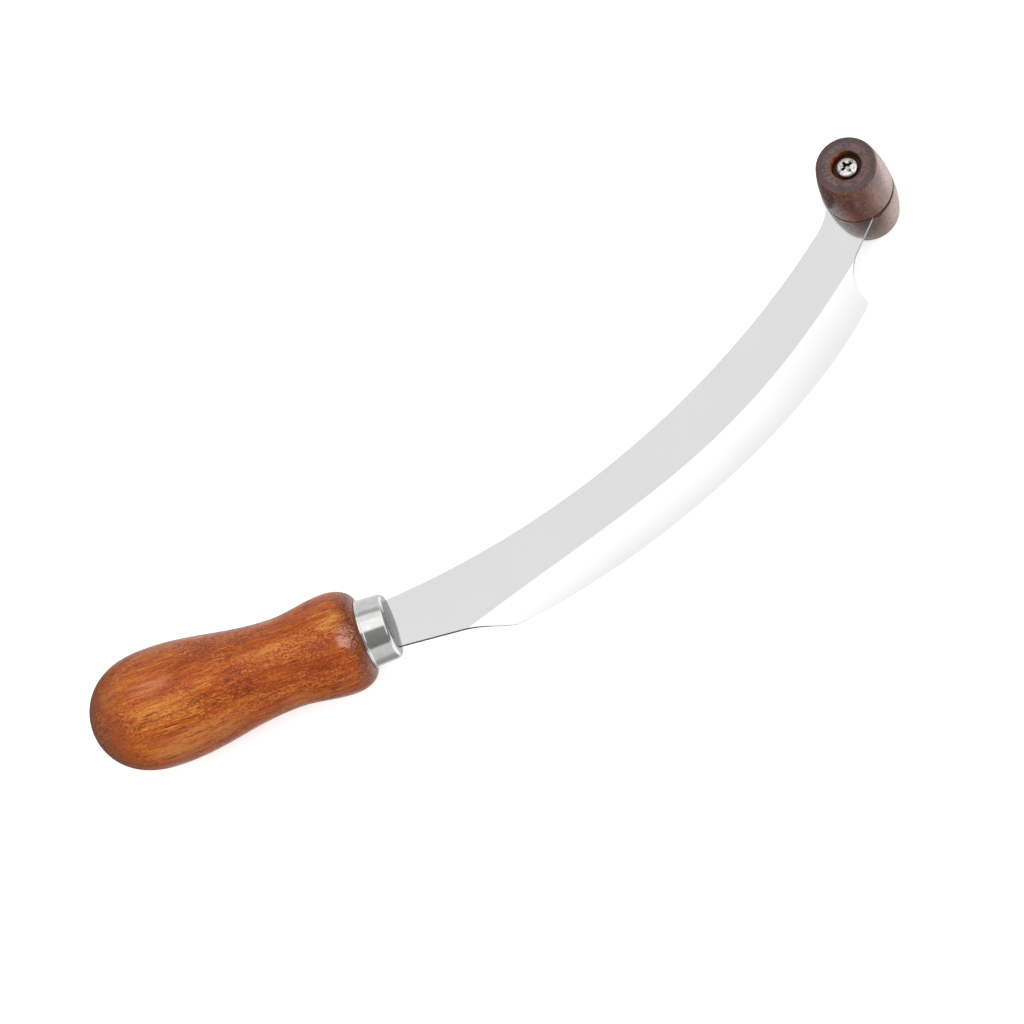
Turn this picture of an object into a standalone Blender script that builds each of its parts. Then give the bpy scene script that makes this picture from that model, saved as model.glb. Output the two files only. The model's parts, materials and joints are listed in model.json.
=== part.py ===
"""Curved two-grip hand knife: a turned palm handle with a steel ferrule at one end of a bowed blade,
and a barrel-shaped cross grip, clamped by one screw, on the eye at the other end.

The knife lies level, blade flat, with +Z up. +X runs along the handle towards the blade, and the
cutting edge is on the -Y side of the bow. Sizes are millimetres. Places on the knife are measured
from the middle of the ferrule's front face, on the handle's axis, at the blade's mid-plane.
"""

import math

import bmesh
import bpy
from mathutils import Vector

MM = 0.001  # metres in a millimetre

# Handle, lathe-turned round the X axis
HANDLE_LENGTH = 70.8  # butt to the middle of the ferrule's front face
BELLY_RADIUS = 13.35
BELLY_FROM_BUTT = 17.3
WAIST_RADIUS = 10.2
WAIST_FROM_BUTT = 45.0
SHOULDER_RADIUS = 11.5
SHOULDER_LENGTH = 6.0  # from the shoulder's crest to the wood's front face
BUTT_FULLNESS = 2.5  # exponent of the butt's rounding; 2 is an ellipse
DRILL_POINT = 1.8  # length of the cone at the bottom of the tang's drilled hole

# Ferrule, a drawn steel cup with the blade's slot in its closed end
FERRULE_LENGTH = 6.95
FERRULE_RIM = 1.47  # how far the front of the cup stands beyond the blade's root
FERRULE_FLARE = 0.22  # how much larger the cup's radius is at the rear
FERRULE_WALL = 0.6
FERRULE_DOME_RADIUS = 36.0  # of the slightly domed front face
FERRULE_CORNER = 1.3
FERRULE_LIP = 0.2  # how far the rear lip stands out
FERRULE_LIP_LENGTH = 0.7

# Blade blank
BLADE_THICKNESS = 0.9
BLADE_REACH = 125.35  # ferrule face to the cross grip's axis, along X
BLADE_RISE = 60.66  # handle axis to the cross grip's axis, along Y
ROOT_TOP = 5.93  # spine side of the blade at the ferrule
ROOT_BOTTOM = 5.51  # edge side of the blade at the ferrule
SPINE_SAG = 10.1  # how far the spine's arc bows from its chord
HEEL_STRAIGHT = (13.9, -6.73)  # end of the straight behind the heel
HEEL = (26.26, -9.98)  # where the cutting edge starts
HEEL_LEAD = 4.8  # how far the straight's direction carries into the curve down to the heel
HEEL_RUN_IN = (-4.06, 0.78)  # direction and pull of that curve where it arrives at the heel
TIP_FROM_EYE = (-6.08, -27.69)  # where the cutting edge ends, from the grip's axis
TIP_FLAT = (0.48, 1.5)  # the tip's short flat, from its lower to its upper corner
NOTCH_RADIUS = 10.96
NOTCH_START_ANGLE = 207.4  # degrees, at the tip
NOTCH_END_ANGLE = 145.0  # degrees, where the notch turns into the neck's straight side
EDGE_BOW = ((0.350, 0.107), (0.246, 0.095))  # along and off the chord, as shares of it, at each end
EYE_RADIUS = 7.9
EYE_OFFSET = 0.35  # the screw hole is drilled this far off the eye's middle, towards +X
NECK_TOP_FROM_EYE = (-11.2, -6.81)  # where the spine's arc ends and its flare to the eye starts
NECK_FLARE = ((1.1, 1.0), (-0.4, -1.5))  # pulls of the flare's curve at its two ends
EYE_START_ANGLE = 195.0  # degrees, where the flare meets the eye
EYE_END_ANGLE = -77.5  # degrees, where the neck's straight side leaves the eye

# Hollow-ground bevels, one on each side of the blade
BEVEL_START = (15.95, -6.66)
BEVEL_END_FROM_EYE = (-5.9, -16.54)
BEVEL_BOW = ((0.408, 0.0513), (0.414, 0.118))
BEVEL_WIDTH = 9.4
BEVEL_HOLLOW = 1.8  # exponent of the hollow; 1 is a flat bevel
EDGE_THICKNESS = 0.1

# Tang, inside the handle
SHOULDER_SETBACK = 2.0  # the blade's shoulders stand this far behind the ferrule's face
TANG_LENGTH = 42.0  # behind the ferrule's front face
TANG_ROOT_WIDTH = 5.2
TANG_TIP_WIDTH = 3.6
BORE_ROOM = 0.5  # between the tang's widest place and the wall of its bore
BORE_PAST_TANG = 3.0

# Cross grip, turned round the Z axis and parted at the blade
GRIP_LENGTH = 26.7
GRIP_MIDDLE_RADIUS = 7.95
GRIP_END_RADIUS = 6.75
GRIP_BARREL = 2.3  # exponent of the barrel's swell
GRIP_END_ROUND = 0.65
GRIP_PART_CHAMFER = 0.25
COUNTERBORE_ROOM = 0.4  # round the widest of the screw's head, the nut and the washer
HEAD_COUNTERBORE_DEPTH = 2.6
NUT_COUNTERBORE_DEPTH = 4.8

# Screw, nut and washer
SCREW_RADIUS = 1.25
SCREW_PAST_NUT = 0.3
HEAD_RADIUS = 2.45
HEAD_HEIGHT = 1.9
HEAD_DOME = 0.6  # the domed part of the head's height
HEAD_FULLNESS = 0.6  # exponent of the dome's shoulder; 1 is an ellipse
SCREW_CHAMFER = 0.4
RECESS_WIDTH = 2.7
RECESS_FLOOR_WIDTH = 1.1
RECESS_DEPTH = 1.15
RECESS_WING = 0.55
RECESS_TURN = 20.0  # degrees, one wing of the cross from the X axis
NUT_FLATS = 5.0
NUT_HEIGHT = 2.0
NUT_CHAMFER_ANGLE = 30.0
WASHER_RADIUS = 3.0
WASHER_THICKNESS = 0.5

# Clearances
FACE_GAP = 0.1  # between faces that touch
SLOT_GAP = 0.15  # round the blade in the ferrule's slot and the handle's saw cut
HOLE_GAP = 0.08  # round the screw in its holes

CUTTER_REACH = 0.2  # how far a cutter passes a surface that it opens

TURNED_STEPS = 48
SMALL_STEPS = 32

# Sizes that follow from those above
FERRULE_FRONT_RADIUS = max(ROOT_TOP, ROOT_BOTTOM) + FERRULE_RIM
FERRULE_REAR_RADIUS = FERRULE_FRONT_RADIUS + FERRULE_FLARE
WOOD_LENGTH = HANDLE_LENGTH - FERRULE_LENGTH - FACE_GAP
SHOULDER_CREST = WOOD_LENGTH - SHOULDER_LENGTH
BORE_RADIUS = TANG_ROOT_WIDTH / 2 + BORE_ROOM
BORE_DEPTH = TANG_LENGTH + BORE_PAST_TANG
NUT_CORNER_RADIUS = NUT_FLATS / math.sqrt(3)
COUNTERBORE_RADIUS = max(HEAD_RADIUS, WASHER_RADIUS, NUT_CORNER_RADIUS) + COUNTERBORE_ROOM
HEAD_SEAT = GRIP_LENGTH / 2 - HEAD_COUNTERBORE_DEPTH + FACE_GAP
WASHER_TOP = -GRIP_LENGTH / 2 + NUT_COUNTERBORE_DEPTH - FACE_GAP
NUT_TOP = WASHER_TOP - WASHER_THICKNESS - FACE_GAP
NUT_BOTTOM = NUT_TOP - NUT_HEIGHT
SCREW_END = NUT_BOTTOM - SCREW_PAST_NUT

# Frame: the origin is below the middle of the whole knife, on the surface that it lies on
EYE = (BLADE_REACH, BLADE_RISE)
MIDDLE_X = (BLADE_REACH + GRIP_MIDDLE_RADIUS - HANDLE_LENGTH) / 2
MIDDLE_Y = (BLADE_RISE + GRIP_MIDDLE_RADIUS - BELLY_RADIUS) / 2
BLADE_HEIGHT = max(BELLY_RADIUS, GRIP_LENGTH / 2)


# ---------------------------------------------------------------- scene and helpers


def clear_scene():
    for obj in list(bpy.data.objects):
        bpy.data.objects.remove(obj, do_unlink=True)


def new_collection(name, shown=True):
    collection = bpy.data.collections.new(name)
    bpy.context.scene.collection.children.link(collection)
    collection.hide_render = not shown
    return collection


def material(name, colour, roughness, metallic=0.0):
    made = bpy.data.materials.new(name)
    made.use_nodes = True
    shader = made.node_tree.nodes["Principled BSDF"]
    shader.inputs["Base Color"].default_value = (*colour, 1.0)
    shader.inputs["Roughness"].default_value = roughness
    shader.inputs["Metallic"].default_value = metallic
    return made


def frame_empty(name, x, y):
    """An empty at a place on the knife, at the blade's mid-plane."""
    empty = bpy.data.objects.new(name, None)
    empty.location = Vector((x - MIDDLE_X, y - MIDDLE_Y, BLADE_HEIGHT)) * MM
    PARTS.objects.link(empty)
    return empty


def add(name, mesh, finish, parent, cutter=False):
    obj = bpy.data.objects.new(name, mesh)
    obj.parent = parent
    if cutter:
        obj.hide_render = True
        obj.display_type = "WIRE"
        CUTTERS.objects.link(obj)
        return obj
    obj.data.materials.append(finish)
    PARTS.objects.link(obj)
    return obj


def turned(name, profile, finish, parent, steps=TURNED_STEPS, closed=False, along_x=False, cutter=False):
    """A lathe-turned piece: profile is (along, radius) from its front end, down its outer side."""
    mesh = bpy.data.meshes.new(name)
    points = [(radius * MM, 0, along * MM) for along, radius in profile]
    count = len(points)
    edges = [(i, (i + 1) % count) for i in range(count if closed else count - 1)]
    mesh.from_pydata(points, edges, [])
    obj = add(name, mesh, finish, parent, cutter)
    screw = obj.modifiers.new("Turn", "SCREW")
    screw.steps = screw.render_steps = steps
    screw.use_merge_vertices = True
    screw.merge_threshold = 0.00001
    screw.use_smooth_shade = True
    if along_x:
        obj.rotation_euler = (0, math.radians(90), 0)
    return obj


def plate(name, outline, thickness, finish, parent, cutter=False):
    """A flat piece: a closed outline in the XY plane, half its thickness to each side."""
    curve = bpy.data.curves.new(name, "CURVE")
    curve.dimensions = "2D"
    curve.fill_mode = "BOTH"
    curve.extrude = thickness / 2 * MM
    spline = curve.splines.new("POLY")
    spline.points.add(len(outline) - 1)
    for point, (x, y) in zip(spline.points, outline):
        point.co = (x * MM, y * MM, 0, 1)
    spline.use_cyclic_u = True
    drawn = bpy.data.objects.new(name + "_outline", curve)
    bpy.context.scene.collection.objects.link(drawn)
    graph = bpy.context.evaluated_depsgraph_get()
    mesh = bpy.data.meshes.new_from_object(drawn.evaluated_get(graph))
    bpy.data.objects.remove(drawn, do_unlink=True)
    bpy.data.curves.remove(curve)
    solid = bmesh.new()
    solid.from_mesh(mesh)
    bmesh.ops.remove_doubles(solid, verts=solid.verts, dist=0.000001)
    bmesh.ops.recalc_face_normals(solid, faces=solid.faces)
    solid.to_mesh(mesh)
    solid.free()
    mesh.name = name
    mesh.materials.clear()
    return add(name, mesh, finish, parent, cutter)


def box(name, low, high, parent):
    """A cutting block between two corners."""
    mesh = bpy.data.meshes.new(name)
    solid = bmesh.new()
    bmesh.ops.create_cube(solid, size=1.0)
    size = [(b - a) * MM for a, b in zip(low, high)]
    middle = [(a + b) / 2 * MM for a, b in zip(low, high)]
    bmesh.ops.scale(solid, vec=size, verts=solid.verts)
    bmesh.ops.translate(solid, vec=middle, verts=solid.verts)
    solid.to_mesh(mesh)
    solid.free()
    return add(name, mesh, None, parent, cutter=True)


def loft(name, sections, parent):
    """A cutting solid through closed sections of equal point count, capped at both ends."""
    mesh = bpy.data.meshes.new(name)
    solid = bmesh.new()
    rings = [[solid.verts.new(Vector(p) * MM) for p in section] for section in sections]
    count = len(sections[0])
    for ring, after in zip(rings, rings[1:]):
        for i in range(count):
            j = (i + 1) % count
            solid.faces.new((ring[i], ring[j], after[j], after[i]))
    solid.faces.new(rings[0])
    solid.faces.new(rings[-1])
    bmesh.ops.recalc_face_normals(solid, faces=solid.faces)
    solid.to_mesh(mesh)
    solid.free()
    return add(name, mesh, None, parent, cutter=True)


def cut(obj, cutter, operation="DIFFERENCE"):
    boolean = obj.modifiers.new(cutter.name, "BOOLEAN")
    boolean.operation = operation
    boolean.solver = "EXACT"
    boolean.object = cutter
    boolean.use_hole_tolerant = False


def shade(obj, angle):
    """Smooth shading, with creases where faces meet at more than the angle in degrees."""
    obj.data.shade_smooth()
    obj.data.set_sharp_from_angle(angle=math.radians(angle))


# ---------------------------------------------------------------- curves


def arc(centre, radius, start, end, steps):
    """Points on an arc between two angles in degrees, both ends included."""
    angles = [math.radians(start + (end - start) * i / steps) for i in range(steps + 1)]
    return [(centre[0] + radius * math.cos(a), centre[1] + radius * math.sin(a)) for a in angles]


def sagged_arc(start, end, sag, steps):
    """Points on the arc from start to end that bows sag to the right of its chord."""
    chord = Vector(end) - Vector(start)
    radius = (chord.length**2 / 4 + sag**2) / (2 * sag)
    left = Vector((-chord.y, chord.x)).normalized()
    centre = (Vector(start) + Vector(end)) / 2 + left * (radius - sag)
    angles = [math.degrees(math.atan2(p[1] - centre.y, p[0] - centre.x)) for p in (start, end)]
    return arc(centre, radius, *angles, steps)


def bezier(a, b, c, d, steps):
    points = []
    for i in range(steps + 1):
        t = i / steps
        u = 1 - t
        weights = (u**3, 3 * u * u * t, 3 * u * t * t, t**3)
        points.append(tuple(sum(w * p[k] for w, p in zip(weights, (a, b, c, d))) for k in (0, 1)))
    return points


def bowed(start, end, bow, steps):
    """A cubic from start to end whose handles stand to the right of the chord, as shares of it."""
    first, last = Vector(start), Vector(end)
    along = last - first
    right = Vector((along.y, -along.x))
    near = first + along * bow[0][0] + right * bow[0][1]
    far = last - along * bow[1][0] + right * bow[1][1]
    return bezier(first, near, far, last, steps)


def from_eye(offset):
    return (EYE[0] + offset[0], EYE[1] + offset[1])


# ---------------------------------------------------------------- blade


def tang_outline(clearance=0.0):
    """The tang's sides behind the shoulders, as (x, half width) from its root to its tip."""
    root = -SHOULDER_SETBACK
    tip = -TANG_LENGTH
    round_length = TANG_TIP_WIDTH / 4
    return [
        (root + clearance, TANG_ROOT_WIDTH / 2 + clearance),
        (tip + round_length, TANG_TIP_WIDTH / 2 + clearance),
        (tip - clearance, TANG_TIP_WIDTH / 4 + clearance),
    ]


def blade_outline():
    """The blank's outline, from the tang's tip along the edge side, round the eye and back."""
    eye_middle = (EYE[0] - EYE_OFFSET, EYE[1])
    tip = from_eye(TIP_FROM_EYE)
    tip_top = (tip[0] + TIP_FLAT[0], tip[1] + TIP_FLAT[1])
    tang = tang_outline()
    lower_tang = [(x, -half) for x, half in reversed(tang)]
    shoulder_x = -SHOULDER_SETBACK

    root = [(shoulder_x, -ROOT_BOTTOM), (0, -ROOT_BOTTOM)]
    straight = Vector(HEEL_STRAIGHT) - Vector((0, -ROOT_BOTTOM))
    heel_near = Vector(HEEL_STRAIGHT) + straight.normalized() * HEEL_LEAD
    heel_far = Vector(HEEL) + Vector(HEEL_RUN_IN)
    heel = bezier(HEEL_STRAIGHT, heel_near, heel_far, HEEL, 6)
    edge = bowed(HEEL, tip, EDGE_BOW, 36)[1:]

    turn = math.radians(NOTCH_START_ANGLE)
    notch_centre = Vector(tip_top) - Vector((math.cos(turn), math.sin(turn))) * NOTCH_RADIUS
    notch = arc(notch_centre, NOTCH_RADIUS, NOTCH_START_ANGLE, NOTCH_END_ANGLE, 10)

    neck_top = from_eye(NECK_TOP_FROM_EYE)
    eye = arc(eye_middle, EYE_RADIUS, EYE_END_ANGLE, EYE_START_ANGLE, 30)
    flare_near = Vector(eye[-1]) + Vector(NECK_FLARE[1])
    flare_far = Vector(neck_top) + Vector(NECK_FLARE[0])
    flare = bezier(eye[-1], flare_near, flare_far, neck_top, 6)
    spine = sagged_arc((0, ROOT_TOP), neck_top, SPINE_SAG, 36)
    spine.reverse()
    upper_tang = [(shoulder_x, ROOT_TOP), *tang]
    return [
        *lower_tang,
        *root,
        *heel,
        *edge,
        *notch,
        *eye,
        *flare[1:],
        *spine[1:],
        *upper_tang,
    ]


def hollow(width):
    """Half the blade's thickness at a distance from the bevel's upper line."""
    share = max(0.0, 1 - width / BEVEL_WIDTH)
    edge = EDGE_THICKNESS / 2
    return edge + (BLADE_THICKNESS / 2 - edge) * share**BEVEL_HOLLOW


def grind_cutter(name, side, parent):
    """What the grinding wheel takes off one side: the hollow, swept along the bevel's upper line."""
    line = [Vector(p) for p in bowed(BEVEL_START, from_eye(BEVEL_END_FROM_EYE), BEVEL_BOW, 32)]
    line.insert(0, line[0] + (line[0] - line[1]) * 2)
    line.append(line[-1] + (line[-1] - line[-2]) * 2)
    widths = [BEVEL_WIDTH * share for share in (0, 0.14, 0.3, 0.48, 0.68, 1)]
    run_out = BEVEL_WIDTH * 1.5
    lead_in = -widths[1]
    profile = [
        (lead_in, 2 * hollow(0) - hollow(widths[1])),
        *[(width, hollow(width)) for width in widths],
        (run_out, hollow(run_out)),
        (run_out, BLADE_THICKNESS),
        (lead_in, BLADE_THICKNESS),
    ]
    sections = []
    for i, point in enumerate(line):
        along = line[min(i + 1, len(line) - 1)] - line[max(i - 1, 0)]
        outward = Vector((along.y, -along.x)).normalized()
        sections.append([(*(point + outward * width), side * height) for width, height in profile])
    return loft(name, sections, parent)


def make_blade(parent):
    blade = plate("blade", blade_outline(), BLADE_THICKNESS, STEEL, parent)
    cut(blade, grind_cutter("grind_top", 1, parent))
    cut(blade, grind_cutter("grind_bottom", -1, parent))
    profile = rod(BLADE_THICKNESS, SCREW_RADIUS + HOLE_GAP)
    hole = turned("eye_hole", profile, None, parent, SMALL_STEPS, cutter=True)
    hole.location = Vector((*EYE, 0)) * MM
    cut(blade, hole)
    shade(blade, 1.5)


# ---------------------------------------------------------------- handle and ferrule


def rod(half_length, radius):
    """Profile of a plain solid cylinder about its middle."""
    return [(half_length, 0), (half_length, radius), (-half_length, radius), (-half_length, 0)]


def handle_radius(from_butt):
    """Outer radius of the turned wood at a distance from the butt."""
    seat = FERRULE_REAR_RADIUS + FERRULE_LIP
    if from_butt <= BELLY_FROM_BUTT:
        share = 1 - from_butt / BELLY_FROM_BUTT
        return BELLY_RADIUS * math.sqrt(max(0.0, 1 - share**BUTT_FULLNESS))
    if from_butt <= WAIST_FROM_BUTT:
        share = (from_butt - BELLY_FROM_BUTT) / (WAIST_FROM_BUTT - BELLY_FROM_BUTT)
        return WAIST_RADIUS + (BELLY_RADIUS - WAIST_RADIUS) * (1 + math.cos(math.pi * share)) / 2
    if from_butt <= SHOULDER_CREST:
        share = (from_butt - WAIST_FROM_BUTT) / (SHOULDER_CREST - WAIST_FROM_BUTT)
        return WAIST_RADIUS + (SHOULDER_RADIUS - WAIST_RADIUS) * (1 - math.cos(math.pi * share)) / 2
    share = min(1.0, (from_butt - SHOULDER_CREST) / SHOULDER_LENGTH)
    return seat + (SHOULDER_RADIUS - seat) * math.sqrt(max(0.0, 1 - share**2))


def ferrule_inner(along):
    """Inner radius of the ferrule at a place behind its front face."""
    share = -along / FERRULE_LENGTH
    outer = FERRULE_FRONT_RADIUS + (FERRULE_REAR_RADIUS - FERRULE_FRONT_RADIUS) * share
    return outer - FERRULE_WALL


def cup_front(inset):
    """The ferrule's domed front and rounded corner, set in from its outside, from the axis outwards."""
    middle_radius = FERRULE_FRONT_RADIUS - FERRULE_CORNER
    spread = FERRULE_DOME_RADIUS - FERRULE_CORNER
    lean = math.asin(middle_radius / spread)
    dome = arc((-FERRULE_DOME_RADIUS, 0), FERRULE_DOME_RADIUS - inset, 0, math.degrees(lean), 4)
    corner_middle = (spread * math.cos(lean) - FERRULE_DOME_RADIUS, middle_radius)
    return dome + arc(corner_middle, FERRULE_CORNER - inset, math.degrees(lean), 90, 5)[1:]


def make_handle(parent):
    """The turned wood: a rounded butt, belly, waist and shoulder, with the spigot that fills the ferrule."""
    butt = [BELLY_FROM_BUTT * (1 - math.cos(math.pi / 2 * i / 10)) for i in range(11)]
    middle = [BELLY_FROM_BUTT + (SHOULDER_CREST - BELLY_FROM_BUTT) * i / 16 for i in range(1, 17)]
    front = [SHOULDER_CREST + SHOULDER_LENGTH * math.sin(math.pi / 2 * i / 8) for i in range(1, 9)]
    outside = [(u - HANDLE_LENGTH, handle_radius(u)) for u in butt + middle + front]
    spigot = [
        *cup_front(FERRULE_WALL + FACE_GAP),
        (-FERRULE_LENGTH - FACE_GAP, ferrule_inner(-FERRULE_LENGTH) - FACE_GAP),
    ]
    handle = turned("handle", spigot + outside[::-1], WOOD, parent, along_x=True)
    bore_profile = [
        (CUTTER_REACH, 0),
        (CUTTER_REACH, BORE_RADIUS),
        (DRILL_POINT - BORE_DEPTH, BORE_RADIUS),
        (-BORE_DEPTH, 0),
    ]
    cut(handle, turned("tang_bore", bore_profile, None, parent, SMALL_STEPS, along_x=True, cutter=True))
    half = BLADE_THICKNESS / 2 + SLOT_GAP
    low = (-SHOULDER_SETBACK - SLOT_GAP, -FERRULE_REAR_RADIUS, -half)
    high = (CUTTER_REACH, FERRULE_REAR_RADIUS, half)
    cut(handle, box("saw_cut", low, high, parent))


def make_ferrule(parent):
    """A drawn cup: domed front with a rounded corner, slightly tapered wall and a small rear lip."""
    lip_start = -FERRULE_LENGTH + FERRULE_LIP_LENGTH
    lip_radius = FERRULE_REAR_RADIUS + FERRULE_LIP
    outside = [
        *cup_front(0),
        (lip_start, FERRULE_REAR_RADIUS),
        (lip_start - FERRULE_LIP, lip_radius),
        (-FERRULE_LENGTH + FERRULE_LIP / 2, lip_radius),
        (-FERRULE_LENGTH, lip_radius - FERRULE_LIP / 2),
    ]
    inside = [(-FERRULE_LENGTH, ferrule_inner(-FERRULE_LENGTH)), *cup_front(FERRULE_WALL)[::-1]]
    ferrule = turned("ferrule", outside + inside, STEEL, parent, along_x=True)
    low = (-SHOULDER_SETBACK, -ROOT_BOTTOM - SLOT_GAP, -BLADE_THICKNESS / 2 - SLOT_GAP)
    high = (CUTTER_REACH, ROOT_TOP + SLOT_GAP, BLADE_THICKNESS / 2 + SLOT_GAP)
    cut(ferrule, box("blade_slot", low, high, parent))


def make_resin(parent):
    """The set adhesive that fills the bore round the tang."""
    radius = BORE_RADIUS - FACE_GAP
    front = -SHOULDER_SETBACK - SLOT_GAP - FACE_GAP
    back = -BORE_DEPTH + FACE_GAP
    profile = [
        (front, 0),
        (front, radius),
        (back + DRILL_POINT, radius),
        (back, 0),
    ]
    resin = turned("tang_resin", profile, RESIN, parent, SMALL_STEPS, along_x=True)
    sides = tang_outline(FACE_GAP)
    sides.insert(0, (CUTTER_REACH, sides[0][1]))
    socket = [(x, -half) for x, half in sides] + [(x, half) for x, half in reversed(sides)]
    thickness = BLADE_THICKNESS + 2 * FACE_GAP
    cut(resin, plate("tang_socket", socket, thickness, None, parent, cutter=True))


# ---------------------------------------------------------------- cross grip


def grip_radius(height):
    """Outer radius of the barrel at a height from the blade's mid-plane."""
    share = abs(height) / (GRIP_LENGTH / 2)
    return GRIP_MIDDLE_RADIUS - (GRIP_MIDDLE_RADIUS - GRIP_END_RADIUS) * share**GRIP_BARREL


def make_grip_half(name, counterbore_depth, parent):
    """One half of the barrel, with its flat inner face on the blade and a counterbore in its end."""
    inner = BLADE_THICKNESS / 2 + FACE_GAP
    end = GRIP_LENGTH / 2
    bore = SCREW_RADIUS + HOLE_GAP
    round_start = end - GRIP_END_ROUND
    barrel = [round_start + (inner + GRIP_PART_CHAMFER - round_start) * i / 8 for i in range(9)]
    rounded = arc((round_start, grip_radius(round_start) - GRIP_END_ROUND), GRIP_END_ROUND, 0, 90, 4)
    profile = [
        (end - counterbore_depth, bore),
        (end - counterbore_depth, COUNTERBORE_RADIUS),
        (end, COUNTERBORE_RADIUS),
        *rounded,
        *[(height, grip_radius(height)) for height in barrel[1:]],
        (inner, grip_radius(inner) - GRIP_PART_CHAMFER),
        (inner, bore),
    ]
    return turned(name, profile, GRIP_WOOD, parent, closed=True)


def make_screw(parent):
    """Pan-head machine screw with a cross recess, its head seated in the upper counterbore."""
    angles = [math.pi / 2 * i / 6 for i in range(7)]
    dome_base = HEAD_SEAT + HEAD_HEIGHT - HEAD_DOME
    dome = [(dome_base + HEAD_DOME * math.cos(a), HEAD_RADIUS * math.sin(a) ** HEAD_FULLNESS) for a in angles]
    profile = [
        *dome,
        (HEAD_SEAT, HEAD_RADIUS),
        (HEAD_SEAT, SCREW_RADIUS),
        (SCREW_END + SCREW_CHAMFER, SCREW_RADIUS),
        (SCREW_END, SCREW_RADIUS - SCREW_CHAMFER),
        (SCREW_END, 0),
    ]
    screw = turned("grip_screw", profile, STEEL, parent, SMALL_STEPS)
    top = HEAD_HEIGHT + CUTTER_REACH
    floor = HEAD_HEIGHT - RECESS_DEPTH
    wing = [
        (-RECESS_WIDTH / 2, top),
        (-RECESS_FLOOR_WIDTH / 2, floor),
        (RECESS_FLOOR_WIDTH / 2, floor),
        (RECESS_WIDTH / 2, top),
    ]
    for number, turn in enumerate((RECESS_TURN, RECESS_TURN + 90)):
        cutter = plate(f"recess_wing_{number}", wing, RECESS_WING, None, parent, cutter=True)
        cutter.rotation_euler = (math.radians(90), 0, math.radians(turn))
        cutter.location = (0, 0, HEAD_SEAT * MM)
        cut(screw, cutter)


def make_washer(parent):
    bottom = WASHER_TOP - WASHER_THICKNESS
    bore = SCREW_RADIUS + HOLE_GAP
    profile = [(WASHER_TOP, bore), (WASHER_TOP, WASHER_RADIUS), (bottom, WASHER_RADIUS), (bottom, bore)]
    turned("nut_washer", profile, STEEL, parent, SMALL_STEPS, closed=True)


def make_nut(parent):
    """Hexagon nut with chamfered corners, under the washer in the lower counterbore."""
    hexagon = arc((0, 0), NUT_CORNER_RADIUS, 0, 300, 5)
    nut = plate("grip_nut", hexagon, NUT_HEIGHT, STEEL, parent)
    nut.location = (0, 0, (NUT_TOP + NUT_BOTTOM) / 2 * MM)
    half = NUT_HEIGHT / 2
    slope = math.tan(math.radians(NUT_CHAMFER_ANGLE))
    outside = NUT_CORNER_RADIUS + CUTTER_REACH
    inside = NUT_FLATS / 2 - CUTTER_REACH
    envelope = [
        (half + slope * CUTTER_REACH, 0),
        (half + slope * CUTTER_REACH, inside),
        (half + slope * (NUT_FLATS / 2 - outside), outside),
        (-half - slope * (NUT_FLATS / 2 - outside), outside),
        (-half - slope * CUTTER_REACH, inside),
        (-half - slope * CUTTER_REACH, 0),
    ]
    turning = turned("nut_chamfer", envelope, None, parent, cutter=True)
    turning.location = nut.location
    cut(nut, turning, "INTERSECT")
    profile = rod(NUT_HEIGHT, SCREW_RADIUS + HOLE_GAP / 2)
    bore = turned("nut_bore", profile, None, parent, SMALL_STEPS, cutter=True)
    bore.location = nut.location
    cut(nut, bore)


def make_cross_grip(parent):
    make_grip_half("grip_top_half", HEAD_COUNTERBORE_DEPTH, parent)
    lower = make_grip_half("grip_bottom_half", NUT_COUNTERBORE_DEPTH, parent)
    lower.rotation_euler = (math.radians(180), 0, 0)
    make_screw(parent)
    make_washer(parent)
    make_nut(parent)


clear_scene()
PARTS = new_collection("curved_hand_knife")
CUTTERS = new_collection("cutters", shown=False)
STEEL = material("polished_steel", (0.72, 0.72, 0.73), 0.18, 1.0)
WOOD = material("handle_wood", (0.42, 0.15, 0.04), 0.4)
GRIP_WOOD = material("grip_wood", (0.16, 0.07, 0.045), 0.5)
RESIN = material("resin", (0.45, 0.38, 0.25), 0.6)

knife = frame_empty("knife", 0, 0)
cross_grip = frame_empty("cross_grip", *EYE)
make_blade(knife)
make_handle(knife)
make_ferrule(knife)
make_resin(knife)
make_cross_grip(cross_grip)
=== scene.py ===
"""Finished look of the curved two-grip hand knife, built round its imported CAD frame.

Sizes are millimetres, turned into metres where a mesh is made. Places on the knife are measured from
the middle of the ferrule's front face, on the handle's axis, at the blade's mid-plane: +X runs along
the handle towards the blade, the cutting edge is on the -Y side, and +Z is up.
"""

import json
import math

import bmesh
import bpy
from mathutils import Matrix, Vector, noise

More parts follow.
